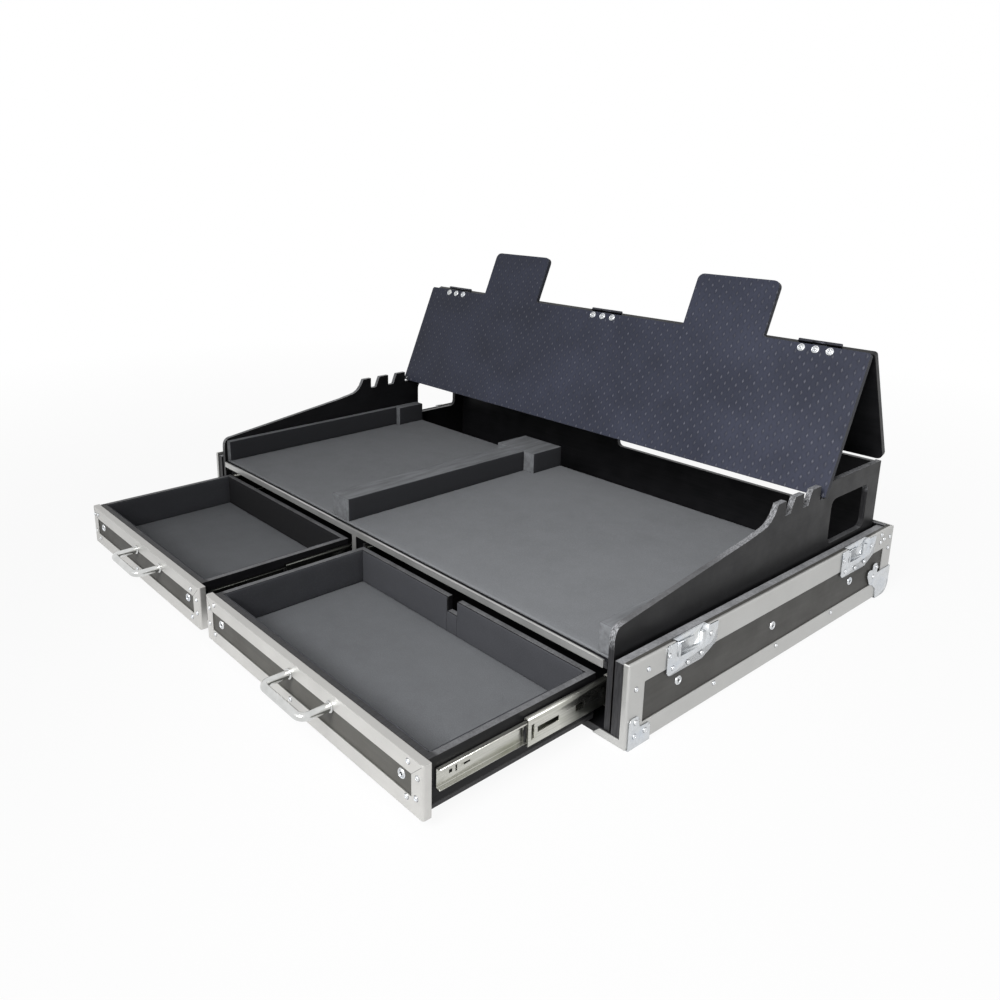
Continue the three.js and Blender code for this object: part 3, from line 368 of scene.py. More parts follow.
def zinc_plate(coat, colour):
    """Bright zinc plate: smooth, with a bluish cast that drifts to straw yellow in places."""
    patches = coat.clouds(42)
    haze = coat.clouds(190)
    coat.shade = coat.shaded(haze, *MIDDLE, colour, 0.95, 1.06)
    coat.lay(coat.spread(patches, 0.3, 0.48, 0.3, 0.0), colour, 0.8, 0.9, 1.05)
    coat.lay(coat.spread(patches, 0.56, 0.72, 0.0, 0.22), colour, 1.08, 1.02, 0.86)
    coat.dress(Metallic=0.92, Roughness=coat.spread(patches, *WIDE, 0.17, 0.3),
               Normal=coat.bumped(haze, 0.03, 0.25, 0.7))


def rolled_steel(coat, colour, greased=False):
    """Roll-formed slide steel: lines along the slide, warm plate and dull smears of grease. A runner is
    painted darker towards its rear, as shade."""
    lines = coat.clouds(1, stretch=(500, 7, 500))
    smears = coat.clouds(1, 5, stretch=(60, 12, 60))
    coat.shade = coat.shaded(lines, *MIDDLE, colour, 0.86, 1.08)
    coat.lay(coat.spread(smears, 0.52, 0.72, 0.0, 0.42), colour, 0.5, 0.52, 0.4)
    # Painted shade: the runner darkens towards its rear to the dark slide colour
    if greased:
        along = coat.parts(coat.place())["Y"]
        coat.lay(coat.spread(along, *REAR_SHADE, 0.0, 0.93), coat.looks.greased)
    coat.dress(Metallic=0.9, Roughness=coat.spread(smears, *WIDE, 0.22, 0.36),
               Normal=coat.bumped(lines, 0.05, 0.3, 0.5))


def polished_bar(coat, colour):
    """Round bar, polished along its length."""
    scratches = coat.clouds(1, stretch=(60, 900, 900))
    haze = coat.clouds(70)
    coat.shade = coat.shaded(haze, *WIDE, colour, 0.9, 1.05)
    coat.dress(Metallic=1.0, Roughness=coat.spread(haze, *WIDE, 0.1, 0.18),
               Normal=coat.bumped(scratches, 0.03, 0.3))


def laminate(coat, colour, grain):
    """Thin laminate: nearly smooth, with a fine pebble, a long faint grain and a few rubbed spots."""
    mottle = coat.clouds(22, 4, 0.6)
    rubbed = coat.spread(coat.clouds(90, 8, 0.75, shift=(3, 1, 2)), 0.66, 0.74)
    fibres = coat.clouds(1, 5, 0.6, stretch=drawn(grain, 150, 9))
    coat.shade = coat.shaded(fibres, 0.36, 0.64, colour, 0.92, 1.08)
    coat.lay(coat.spread(mottle, 0.45, 0.7, 0.0, 0.4), colour, 0.84)
    coat.lay(coat.times(rubbed, 0.25), colour, 1.6)
    coat.dress(Roughness=coat.spread(mottle, *WIDE, 0.46, 0.6), Specular_IOR_Level=0.35,
               Normal=coat.bumped(coat.clouds(1300, 3, 0.6), 0.2, 0.3, 0.6))


def stained_ply(coat, colour, grain, broad, worn_top=0.0, sheen=0.26, side_board=False):
    """Plywood stained black. Its broad faces look along given axes and have a low sheen. Its cut edges show
    the plies under the stain, and its top may be rubbed pale, but not on a drawer box's front wall. A side
    board is painted darker towards its foot, as shade, and is pale on its front shoulder and in its notches."""
    looks = coat.looks
    fibres = coat.clouds(1, 6, 0.6, stretch=drawn(grain, 240, 11))
    film = coat.clouds(26, 5, 0.6)
    place = coat.parts(coat.place())
    coat.shade = coat.shaded(fibres, *MIDDLE, colour, 0.75, 1.35)
    coat.lay(coat.spread(film, 0.45, 0.75, 0.0, 0.5), colour, 1.8)
    # Painted shade: a side board darkens towards its foot
    if side_board:
        coat.shade = coat.blend(coat.spread(place["Z"], *SHADED_FOOT), opaque(colour, 0.55), coat.shade)
    cut = coat.maths("SUBTRACT", 1.0, coat.looking(broad))
    plies = coat.clouds(1, 3, stretch=(900, 60, 60) if "x" in broad else (60, 900, 900))
    coat.lay(coat.times(cut, 0.75), coat.shaded(plies, 0.4, 0.6, looks.cut_edge, 0.55, 1.1))
    rub = coat.spread(coat.clouds(120, 6, 0.7), 0.42, 0.62)
    coat.lay(coat.times(coat.times(coat.edges(1.1), rub), 0.55), looks.bare_edge)
    if worn_top > 0:
        nicks = coat.clouds(300, 6, 0.7, shift=(5, 2, 7))
        share = coat.times(coat.upward(), coat.spread(film, 0.3, 0.55, 0.6 * worn_top, worn_top))
        if broad == "xy":
            share = coat.times(share, coat.spread(place["Y"], *FRONT_WALL, 0.1, 1.0))
        coat.lay(share, coat.shaded(nicks, *MIDDLE, looks.ledge, 0.7, 1.25))
    if side_board:
        far = coat.measure("DISTANCE", coat.place((0, 1, 1)), (0, *SHOULDER))
        near = coat.maths("MAXIMUM", coat.spread(far, SHOULDER_REACH, SHOULDER_REACH * 0.4),
                          coat.spread(place["Z"], *PALE_NOTCHES, 0, 0.9))
        marks = coat.spread(coat.clouds(1, 5, stretch=drawn("x", 260, 900)), 0.36, 0.66)
        coat.lay(coat.times(coat.times(near, marks), cut), looks.ledge, 1.3)
    coat.dress(Roughness=coat.spread(film, *WIDE, 0.36, 0.5), Specular_IOR_Level=sheen,
               Normal=coat.bumped(fibres, 0.3, 0.3, 0.9))


def dimpled_board(coat, colour):
    """Anti-slip board: a film with rows of raised grains, offset by half a step in every other row, each
    grain painted lighter as a highlight and the valley round it painted darker as shade, bare plies on the
    ridge and the foot, and dark ends."""
    looks = coat.looks
    place = coat.parts(coat.place(turn=(-LEAN, 0, 0)))
    rows = []
    for offset in (0.0, 0.5):
        away = []
        for axis, pitch, reach in GRAINS:
            steps = coat.maths("ADD", coat.maths("DIVIDE", place[axis], pitch * MM), offset)
            apart = coat.times(coat.maths("PINGPONG", steps, 0.5), pitch * MM)
            away.append(coat.maths("DIVIDE", apart, reach * MM))
        rows.append(coat.maths("ADD", *away))
    grains, valley_shade = (coat.maths("MAXIMUM", *(coat.spread(row, *reach) for row in rows))
                       for reach in (GRAIN_RIM, VALLEY_SHADE_RIM))
    film = coat.clouds(9, 5, 0.6)
    worn = coat.clouds(90, 5, 0.6)
    coat.shade = coat.shaded(film, *MIDDLE, colour, 0.82, 1.16)
    # Painted shade in the valley round each grain, and a painted highlight on each grain, varied by wear
    coat.lay(coat.times(valley_shade, 0.35), colour, 0.45)
    coat.lay(coat.times(grains, 0.85), coat.shaded(worn, 0.4, 0.66, looks.dimple, 0.55, 1.35))
    coat.lay(coat.times(coat.edges(1.1), 0.3), looks.dimple, 1.1)
    normal = coat.add("TexCoord").outputs["Normal"]
    ridge, end = (0, math.sin(LEAN), math.cos(LEAN)), (1, 0, 0)
    for direction, bare, gain in ((ridge, looks.bare_edge, 0.7), (end, colour, 0.3)):
        along = coat.measure("DOT_PRODUCT", normal, direction)
        coat.lay(coat.spread(coat.maths("ABSOLUTE", along), 0.5, 0.8, 0.0, 0.85), bare, gain)
    coat.dress(Roughness=coat.spread(film, *WIDE, 0.36, 0.5), Specular_IOR_Level=0.16,
               Normal=coat.bumped(grains, 0.7, 0.6, 0.9))


def closed_cell_foam(coat, colour, lit_faces=False):
    """Closed-cell foam with its cells cut open, softly mottled, or darker with its top and its ends painted
    lighter as lit faces.
    """
    inputs = {"Vector": coat.place(), "Scale": 1 / PORE}
    pores = coat.add("TexVoronoi", inputs, feature="F1").outputs["Distance"]
    fine = coat.clouds(1400, 3, 0.6)
    specks = coat.spread(coat.clouds(420, 4, 0.6, shift=(1, 4, 2)), 0.7, 0.76)
    # Painted light and shade: the top and the ends take the lighter deck foam colour as lit faces, and the
    # sides stay darker as shaded faces
    if lit_faces:
        streaks = coat.clouds(1, 5, 0.6, stretch=(90, 14, 90))
        coat.shade = opaque(colour, 0.6)
        coat.lay(coat.times(coat.maths("MAXIMUM", coat.upward(), coat.looking("y")), 0.9),
                 coat.shaded(streaks, *MIDDLE, coat.looks.deck_foam, 0.8, 1.2))
    else:
        coat.shade = coat.shaded(pores, 0.0, 0.75, colour, 0.84, 1.1)
        coat.lay(coat.spread(coat.clouds(30, 6, 0.62), 0.35, 0.7, 0.0, 0.4), colour, 0.8)
        coat.lay(coat.spread(coat.clouds(5, 3, 0.5), 0.4, 0.65, 0.0, 0.25), colour, 1.16)
    coat.lay(coat.times(specks, 0.4), colour, 2.2)
    height = coat.maths("ADD", coat.times(pores, 0.6), coat.times(fine, 0.5))
    coat.dress(Roughness=0.95, Specular_IOR_Level=0.25, Normal=coat.bumped(height, 0.5, 0.6))


def grimy_seam(coat, colour):
    """The dull dark line of dirt in a seam, and the shade painted round a rivet's foot and in a screw's
    recess.
    """
    grain = coat.clouds(900, 4, 0.6)
    coat.shade = coat.shaded(grain, *MIDDLE, colour, 0.6, 1.5)
    coat.dress(Roughness=0.8, Normal=coat.bumped(grain, 0.1, 0.4))


def moulded_plastic(coat, colour):
    """Black moulded plastic with a fine grain and duller patches."""
    haze = coat.clouds(160)
    coat.shade = coat.shaded(haze, *MIDDLE, colour, 0.7, 1.5)
    coat.dress(Roughness=coat.spread(haze, *WIDE, 0.42, 0.6),
               Normal=coat.bumped(coat.clouds(1600, 3, 0.6), 0.1, 0.3))


# Each material: how it is made, its colour in the sidebar, and what else its finish asks for
FINISHES = {
    "satin_aluminium_x": (satin_aluminium, "edging", "x"),
    "satin_aluminium_y": (satin_aluminium, "edging", "y"),
    # Painted light and shade: the drawer fronts' edging is lighter, as if lit, and its top is darker, as
    # shade
    "bright_aluminium": (satin_aluminium, "front_edging", "x", 0.45),
    "zinc_plate": (zinc_plate, "zinc"),
    "fastener_zinc": (zinc_plate, "fasteners"),
    "hinge_steel": (zinc_plate, "hinge_leaf"),
    "rolled_steel": (rolled_steel, "slides"),
    "runner_steel": (rolled_steel, "slides", True),
    # Painted shade: the slides between the drawers take the dark slide colour all over
    "greased_steel": (rolled_steel, "greased"),
    "polished_bar": (polished_bar, "bright_bar"),
    "tray_laminate": (laminate, "tray_laminate", "y"),
    "drawer_laminate": (laminate, "drawer_laminate", "x"),
    "stained_ply_level": (stained_ply, "black_ply", "x", "z"),
    "stained_ply_rear": (stained_ply, "black_ply", "x", "y", 0.35),
    "stained_ply_tray_rear": (stained_ply, "black_ply", "x", "y", 1),
    "stained_ply_divider": (stained_ply, "black_ply", "y", "x"),
    "stained_ply_liner": (stained_ply, "black_ply", "y", "x", 1, 0.3),
    "stained_ply_box": (stained_ply, "black_ply", "y", "xy", 0.45, 0.12),
    "stained_ply_leaf": (stained_ply, "black_ply", "x", "yz"),
    "stained_ply_side_board": (stained_ply, "black_ply", "y", "x", 0.3, 0.24, True),
    "dimpled_board": (dimpled_board, "stand_ply"),
    "grey_foam": (closed_cell_foam, "deck_foam"),
    "floor_foam": (closed_cell_foam, "floor_foam"),
    "dark_foam": (closed_cell_foam, "dark_foam"),
    # Painted shadow: black foam for the left drawer's rear wall
    "black_foam": (closed_cell_foam, "black_ply"),
    "bar_foam": (closed_cell_foam, "dark_foam", True),
    "grimy_seam": (grimy_seam, "grime"),
    "black_plastic": (moulded_plastic, "black_ply"),
}
MATERIALS = {}


def material(name):
    """The named material, made on first use."""
    if name not in MATERIALS:
        make, colour, *details = FINISHES[name]
        looks = bpy.context.scene.case_finishes
        coat = Coat(name, looks)
        make(coat, getattr(looks, colour), *details)
        MATERIALS[name] = coat.material
    return MATERIALS[name]


def assign(finishes):
    """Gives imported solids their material, from the list of nodes that each one goes on."""
    for name, nodes in finishes.items():
        for node in nodes:
            solid = frame["nodes"][node]
            for slot in solid.material_slots:
                slot.material = material(name)
            if not solid.material_slots:
                solid.data.materials.append(material(name))


# Meshes
# Edges that bend by more than this stay sharp, in degrees: on a new piece, on foam, and on the copy of a
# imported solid
SHARP = 40
FOAM_SHARP = 60
COPY_SHARP = 34
# The two waves of the foam's uneven faces: their number in a metre and their share of the ripple
WAVES = ((38, 0.7), (140, 0.3))


def of_kind(kind, items):
    return [item for item in items if isinstance(item, kind)]


def edges_at(vertices):
    return list({edge for vertex in vertices for edge in vertex.link_edges})


def as_mesh(work, name):
    """Turns a bmesh into a mesh."""
    mesh = bpy.data.meshes.new(name)
    work.to_mesh(mesh)
    work.free()
    return mesh


def as_object(name, mesh):
    """Puts a mesh in the scene."""
    made = bpy.data.objects.new(name, mesh)
    bpy.context.scene.collection.objects.link(made)
    return made


def finish_piece(name, work, body, materials, replaces=(), sharp=SHARP):
    """Turns a bmesh into a piece that rides on a body."""
    mesh = as_mesh(work, name)
    for key in materials:
        mesh.materials.append(material(key))
    mesh.polygons.foreach_set("use_smooth", [True] * len(mesh.polygons))
    mesh.set_sharp_from_angle(angle=math.radians(sharp))
    piece = as_object(name, mesh)
    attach(piece, body)
    if replaces:
        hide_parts(*replaces)
    return piece


def finish_foam(node, work, body, materials, ending="cut"):
    """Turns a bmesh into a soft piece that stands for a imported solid."""
    piece = finish_piece(f"{node}_{ending}", work, body, materials, [node], FOAM_SHARP)


def smooth_copy(node, body, name):
    """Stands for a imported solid: the same shape, with its curved faces shaded smooth."""
    work = bmesh.new()
    work.from_mesh(frame["nodes"][node].data)
    bmesh.ops.remove_doubles(work, verts=work.verts, dist=WELD)
    finish_piece(f"{node}_smooth", work, body, [name], [node], COPY_SHARP)


def add_block(work, low, high, rounding=0.0, segments=2, index=0):
    """Adds a rectangular block, its edges rounded, and returns its faces."""
    low, high = Vector(low), Vector(high)
    place = Matrix.Translation((low + high) / 2) @ Matrix.Diagonal((*(high - low), 1))
    before = set(work.faces)
    made = bmesh.ops.create_cube(work, size=1, matrix=place)["verts"]
    if rounding > 0:
        bmesh.ops.bevel(work, geom=edges_at(made), offset=rounding, offset_type="OFFSET", affect="EDGES",
                        segments=segments, profile=0.5, material=-1)
    faces = [face for face in work.faces if face not in before]
    for face in faces:
        face.material_index = index
    return faces


def slice_grid(work, faces, axis, step):
    """Cuts faces by planes square to an axis, a step apart."""
    places = [vertex.co[axis] for face in faces for vertex in face.verts]
    low, high = min(places), max(places)
    count = max(1, round((high - low) / step))
    point, normal = Vector(), Vector()
    normal[axis] = 1
    for cut in range(1, count):
        point[axis] = low + (high - low) * cut / count
        geometry = list(faces) + list({edge for face in faces for edge in face.edges})
        geometry += list({vertex for face in faces for vertex in face.verts})
        made = bmesh.ops.bisect_plane(work, geom=geometry, plane_co=point, plane_no=normal, dist=WELD)
        faces = set(of_kind(BMFace, made["geom"]))
    return list(faces)


def add_foam_slab(work, low, high, seed, index=0):
    """Adds a foam slab: soft edges and slightly uneven faces that stay inside the slab's box. Each seed
    gives other dips."""
    sizes = bpy.context.scene.case_foam
    low, high = Vector(low), Vector(high)
    faces = add_block(work, low, high, sizes.rounding, 3, index)
    # Along a short side the slab isn't cut, and a very short side keeps its length
    for axis in range(3):
        if high[axis] - low[axis] > 2 * sizes.cell:
            faces = slice_grid(work, faces, axis, sizes.cell)
    middle, half = (low + high) / 2, (high - low) / 2
    for vertex in {vertex for face in faces for vertex in face.verts}:
        dip = 0
        for (waves, share), start in zip(WAVES, (Vector((seed, 0, 0)), Vector((0, seed, 0)))):
            dip += sizes.ripple * share * (0.5 + 0.5 * noise.noise(vertex.co * waves + start))
        for axis in range(3):
            if half[axis] > 4 * sizes.ripple:
                pull = 1 - dip / half[axis]
                vertex.co[axis] = middle[axis] + (vertex.co[axis] - middle[axis]) * pull


def lathe(profile, steps, shaded_beyond=None):
    """A closed body turned round +Z from (radius, height) points, which run from its rim to its middle. What
    lies beyond a radius takes the second material."""
    work = bmesh.new()
    line = [work.verts.new((radius, 0, height)) for radius, height in profile]
    edges = [work.edges.new(pair) for pair in zip(line, line[1:])]
    bmesh.ops.spin(work, geom=line + edges, cent=(0, 0, 0), axis=(0, 0, 1), angle=math.tau, steps=steps,
                   use_merge=True)
    bmesh.ops.remove_doubles(work, verts=work.verts, dist=WELD)
    bmesh.ops.holes_fill(work, edges=work.edges, sides=steps)
    bmesh.ops.recalc_face_normals(work, faces=work.faces)
    if shaded_beyond is not None:
        for face in work.faces:
            face.material_index = int(face.calc_center_median().xy.length > shaded_beyond)
    return as_mesh(work, "pattern")


# Fasteners
# Half outlines of a rivet's head, of the ring of painted shade round it and of a cup washer, in shares of
# their radius and their rise, from the rim inwards, and the size of the screw in the washer in the same
# shares
RIVET_HEAD = ((1, 0.06), (0.98, 0.3), (0.84, 0.7), (0.56, 1), (0.4, 1), (0.34, 0.6), (0.2, 0.55))
SHADE_RING = ((1, -0.1), (1, 0.04))
CUP_WASHER = ((1, -0.2), (1, 0.3), (0.93, 0.72), (0.82, 1), (0.72, 0.95), (0.64, 0.5), (0.61, 0.05))
SCREW_IN_CUP = (0.56, 0.62)
# A screw head's cross, its arms' reach and half width and its depth in shares of the radius, and how far the
# head goes down in shares of its rise
CROSS = (0.62, 0.17, 0.35)
SKIRT = 1.5


def scaled(profile, radius, rise):
    return [(radius * across, rise * up) for across, up in profile]


def rivet_pattern():
    """Rivet head with a ring of painted shade round its foot."""
    sizes = bpy.context.scene.case_fasteners
    radius, rise = sizes.rivet, sizes.rivet_rise
    ring = scaled(SHADE_RING, radius + sizes.grime, rise)
    return lathe(ring + scaled(RIVET_HEAD, radius, rise), sizes.turns, radius)


def screw_pattern(radius, rise):
    """Countersunk screw head with a cross recess."""
    work = bmesh.new()
    arm, width, depth = (radius * share for share in CROSS)
    corners = []
    for quarter in range(4):
        turn = Matrix.Rotation(quarter * math.pi / 2, 4, "Z")
        for x, y in ((width, -width), (arm, -width), (arm, width)):
            corners.append(turn @ Vector((x, y, rise)))
    recess = work.faces.new([work.verts.new(corner) for corner in corners])
    rim = edges_at(bmesh.ops.create_circle(
        work, cap_ends=False, radius=radius, segments=len(corners),
        matrix=Matrix.Translation((0, 0, rise)))["verts"])
    bmesh.ops.bridge_loops(work, edges=rim + list(recess.edges))
    lowered = of_kind(BMVert, bmesh.ops.extrude_edge_only(work, edges=rim)["geom"])
    bmesh.ops.translate(work, verts=lowered, vec=(0, 0, -rise * SKIRT))
    floor = bmesh.ops.extrude_face_region(work, geom=[recess])["geom"]
    bmesh.ops.translate(work, verts=of_kind(BMVert, floor), vec=(0, 0, -depth))
    # Painted shade: the recess's floor takes the second, dark material
    for face in of_kind(BMFace, floor):
        face.material_index = 1
    if recess.is_valid:
        bmesh.ops.delete(work, geom=[recess], context="FACES_ONLY")
    bmesh.ops.recalc_face_normals(work, faces=work.faces)
    return as_mesh(work, "pattern")


def cup_and_screw():
    """Cup washer, a rolled rim that falls to the screw's seat, with a few more sides than a rivet's head,
    and the screw in it."""
    sizes = bpy.context.scene.case_fasteners
    cup = lathe(scaled(CUP_WASHER, sizes.cup, sizes.cup_rise), sizes.turns + 6)
    across, up = SCREW_IN_CUP
    return [cup, screw_pattern(sizes.cup * across, sizes.cup_rise * up)]


def spot(x, y, z, outwards):
    """Puts a pattern's foot at a place, with +Z turned outwards."""
    turn = Vector((0, 0, 1)).rotation_difference(Vector(outwards)).to_matrix().to_4x4()
    return Matrix.Translation((x, y, z)) @ turn


def repeat(work, pattern, places):
    """Adds a copy of the pattern mesh at each matrix."""
    for place in places:
        before = len(work.verts)
        work.from_mesh(pattern)
        work.verts.ensure_lookup_table()
        bmesh.ops.transform(work, matrix=place, verts=work.verts[before:])


def add_fasteners(name, patterns, places, body):
    """A piece with a copy of each pattern at each place."""
    work = bmesh.new()
    for pattern in patterns:
        repeat(work, pattern, places)
    finish_piece(name, work, body, ["fastener_zinc", "grimy_seam"])


def side_face(node, side):
    """Where the outer face of a node on the case's left or right side is."""
    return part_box(node)[SIGNS[side] > 0].x


# Operators, one for each piece or group of like pieces
class CASE_OT_finish_boards(bpy.types.Operator):
    """Stains, laminates and films on every board"""

    bl_idname = "case.finish_boards"
    bl_label = "Finish boards"

    boards = {
        "stained_ply_level": ["floor_board", "deck_board", *both("drawer_bottom")],
        "stained_ply_rear": ["cabinet_back"],
        "stained_ply_tray_rear": ["back_wall"],
        "stained_ply_divider": ["drawer_divider"],
        "stained_ply_liner": both("side_liner"),
        "stained_ply_box": both("drawer_box"),
        "stained_ply_leaf": ["stand_rear"],
        "stained_ply_side_board": both("cabinet_side"),
        "tray_laminate": both("side_wall"),
        "drawer_laminate": both("drawer_panel"),
        "dimpled_board": ["stand_front"],
    }

    def execute(self, context):
        assign(self.boards)
        return {"FINISHED"}


class CASE_OT_finish_metal(bpy.types.Operator):
    """Aluminium edging and zinc-plated steel"""

    bl_idname = "case.finish_metal"
    bl_label = "Finish metal"

    edgings = {
        "satin_aluminium_x": ["back_rail_top", "back_rail_bottom", "front_edging"],
        "satin_aluminium_y": both("side_frame"),
        "bright_aluminium": both("drawer_frame"),
    }
    plates = ("corner_brace", "ball_corner", "latch_strike_front", "latch_strike_rear")
    # The steel of a slide's three sections at a side board. At the divider all three take the dark slide
    # colour, painted as shade.
    steels = {"outer": "rolled_steel", "middle": "runner_steel", "inner": "rolled_steel"}

    def execute(self, context):
        assign(self.edgings)
        for side in SIDES:
            for name in self.plates:
                smooth_copy(f"{name}_{side}", "case", "zinc_plate")
            bodies = {"outer": "case", "middle": f"runners_{side}", "inner": f"drawer_{side}"}
            for half in HALVES:
                for section, steel in self.steels.items():
                    if half == "inside":
                        steel = "greased_steel"
                    smooth_copy(f"slide_{section}_{side}_{half}", bodies[section], steel)
        for place in HINGES:
            smooth_copy(f"hinge_front_{place}", "stand", "hinge_steel")
            smooth_copy(f"hinge_rear_{place}", "stand_rear_leaf", "hinge_steel")
        return {"FINISHED"}


class CASE_OT_deck_foam(bpy.types.Operator):
    """Foam sheet on the deck, pressed down under the bars"""

    bl_idname = "case.deck_foam"
    bl_label = "Deck foam"

    # How far the pressed sheet stays below a bar, how far it is pressed beside the bar, and how far to each
    # side of the centre bar's middle, in metres
    clearance = 0.3 * MM
    beside = 1 * MM
    centre_reach = 24 * MM

    def execute(self, context):
        work = bmesh.new()
        add_foam_slab(work, *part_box("deck_foam"), seed=3)
        for bar in ("left", "centre", "right"):
            foot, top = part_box(f"foam_bar_{bar}")
            middle = (foot.x + top.x) / 2
            reach = self.centre_reach if bar == "centre" else (top.x - foot.x) / 2 + self.beside
            for vertex in work.verts:
                x, y, z = vertex.co
                if abs(x - middle) < reach and foot.y < y < top.y and z > foot.z - self.beside:
                    vertex.co.z = min(z, foot.z - self.clearance)
        finish_foam("deck_foam", work, "case", ["grey_foam"], "sheet")
        return {"FINISHED"}


class CASE_OT_foam_bars(bpy.types.Operator):
    """Foam bars on the deck, each with the wider block at its rear"""

    bl_idname = "case.foam_bars"
    bl_label = "Foam bars"

    # Each bar's place along the width of its rear block, from 0 at the left to 1 at the right, and in
    # millimetres its shift from there, its width and the depth of its rear block
    bars = {"left": (0, 0, 14.7, 73), "right": (1, 0, 21.7, 73), "centre": (0.5, 1, 50, 84)}

    def execute(self, context):
        for number, (place, (share, shift, width, depth)) in enumerate(self.bars.items()):
            low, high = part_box(f"foam_bar_{place}")
            spare = high.x - low.x - width * MM
            left = low.x + spare * share + shift * MM
            seam = high.y - depth * MM
            work = bmesh.new()
            add_foam_slab(work, (left, low.y, low.z), (left + width * MM, seam, high.z), seed=number)
            add_foam_slab(work, (low.x, seam, low.z), high, seed=number + 5)
            finish_foam(f"foam_bar_{place}", work, "case", ["bar_foam"])
        return {"FINISHED"}


class CASE_OT_drawer_linings(bpy.types.Operator):
    """Five sheets of foam in each drawer: a floor and four walls"""

    bl_idname = "case.drawer_linings"
    bl_label = "Drawer linings"

    # Gap between the sheets, and the ends and foot of the notch in the right drawer's rear wall, in metres
    gap = 0.2 * MM
    notch = (0.2207, 0.2437)
    notch_foot = 0.064
    # The foam of the walls, of the floor, and of the left drawer's rear wall, which is black as a painted
    # shadow
    foams = ("dark_foam", "floor_foam", "black_foam")

    def execute(self, context):
        thick = context.scene.case_foam.lining
        inset = thick + self.gap
        for number, side in enumerate(SIDES):
            low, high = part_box(f"drawer_lining_{side}")
            foot = low.z + inset
            work = bmesh.new()
            add_foam_slab(work, low, (high.x, high.y, low.z + thick), seed=number + 11, index=1)
            for left in (low.x, high.x - thick):
                add_foam_slab(work, (left, low.y, foot), (left + thick, high.y, high.z), seed=number + 21)
            left, right = low.x + inset, high.x - inset
            add_foam_slab(work, (left, low.y, foot), (right, low.y + thick, high.z), seed=number + 31)
            stretches, index = [(left, right, high.z)], 2
            if side == "right":
                start, end = self.notch
                stretches = [(left, start, high.z), (start, end, self.notch_foot), (end, right, high.z)]
                index = 0
            for start, end, top in stretches:
                add_foam_slab(work, (start, high.y - thick, foot), (end, high.y, top), number + 41, index)
            finish_foam(f"drawer_lining_{side}", work, f"drawer_{side}", self.foams)
        return {"FINISHED"}


class CASE_OT_pull_handles(bpy.types.Operator):
    """Bow handles bent from round bar, with a collar at each foot"""

    bl_idname = "case.pull_handles"
    bl_label = "Pull handles"

    bend_steps = 8
    # A collar's outline outside the bar, out and up in shares of its width, then its inner wall's share of
    # the bar's radius, and the height of that wall in shares of the width
    outline = ((1, 0), (1, 0.5), (0.75, 0.85), (0.3, 1))
    wall = 0.96
    wall_height = 1.1
    collar_sides = 24

    def execute(self, context):
        sizes = context.scene.case_handles
        radius, bend = sizes.radius, sizes.bend
        for side in SIDES:
            low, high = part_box(f"drawer_handle_{side}")
            level = (low.z + high.z) / 2
            left, right = low.x + radius, high.x - radius
            reach = low.y + radius + bend
            work = bmesh.new()
            start = Matrix.Translation((left, high.y, level)) @ Matrix.Rotation(math.pi / 2, 4, "X")
            edges = edges_at(bmesh.ops.create_circle(
                work, cap_ends=False, radius=radius, segments=sizes.sides, matrix=start)["verts"])
            bmesh.ops.edgeloop_fill(work, edges=edges)
            edges = self.pull(work, edges, (0, reach - high.y, 0))
            edges = self.turn(work, edges, (left + bend, reach, level))
            edges = self.pull(work, edges, (right - left - 2 * bend, 0, 0))
            edges = self.turn(work, edges, (right - bend, reach, level))
            edges = self.pull(work, edges, (0, high.y - reach, 0))
            bmesh.ops.edgeloop_fill(work, edges=edges)
            bmesh.ops.recalc_face_normals(work, faces=work.faces)
            finish_piece(f"pull_handle_{side}", work, f"drawer_{side}", ["polished_bar"],
                         [f"drawer_handle_{side}"])
            feet = bmesh.new()
            collar = self.collar(radius, sizes.foot)
            repeat(feet, collar, [spot(x, high.y, level, (0, -1, 0)) for x in (left, right)])
            finish_piece(f"handle_feet_{side}", feet, f"drawer_{side}", ["polished_bar"])
        return {"FINISHED"}

    def collar(self, radius, width):
        """Collar welded round the bar where it meets the drawer front."""
        inner = radius * self.wall
        profile = [(inner, 0), *((radius + width * out, width * up) for out, up in self.outline),
                   (inner, width * self.wall_height)]
        return lathe(profile, self.collar_sides)

    def pull(self, work, edges, vector):
        """Draws the open end of the bar on, straight."""
        made = bmesh.ops.extrude_edge_only(work, edges=edges)["geom"]
        bmesh.ops.translate(work, verts=of_kind(BMVert, made), vec=vector)
        return [edge for edge in of_kind(BMEdge, made) if len(edge.link_faces) == 1]

    def turn(self, work, edges, centre):
        """Bends the open end of the bar by a quarter turn."""
        vertices = list({vertex for edge in edges for vertex in edge.verts})
        made = bmesh.ops.spin(work, geom=edges + vertices, cent=centre, axis=(0, 0, 1), angle=math.pi / 2,
                              steps=self.bend_steps)
        return of_kind(BMEdge, made["geom_last"])


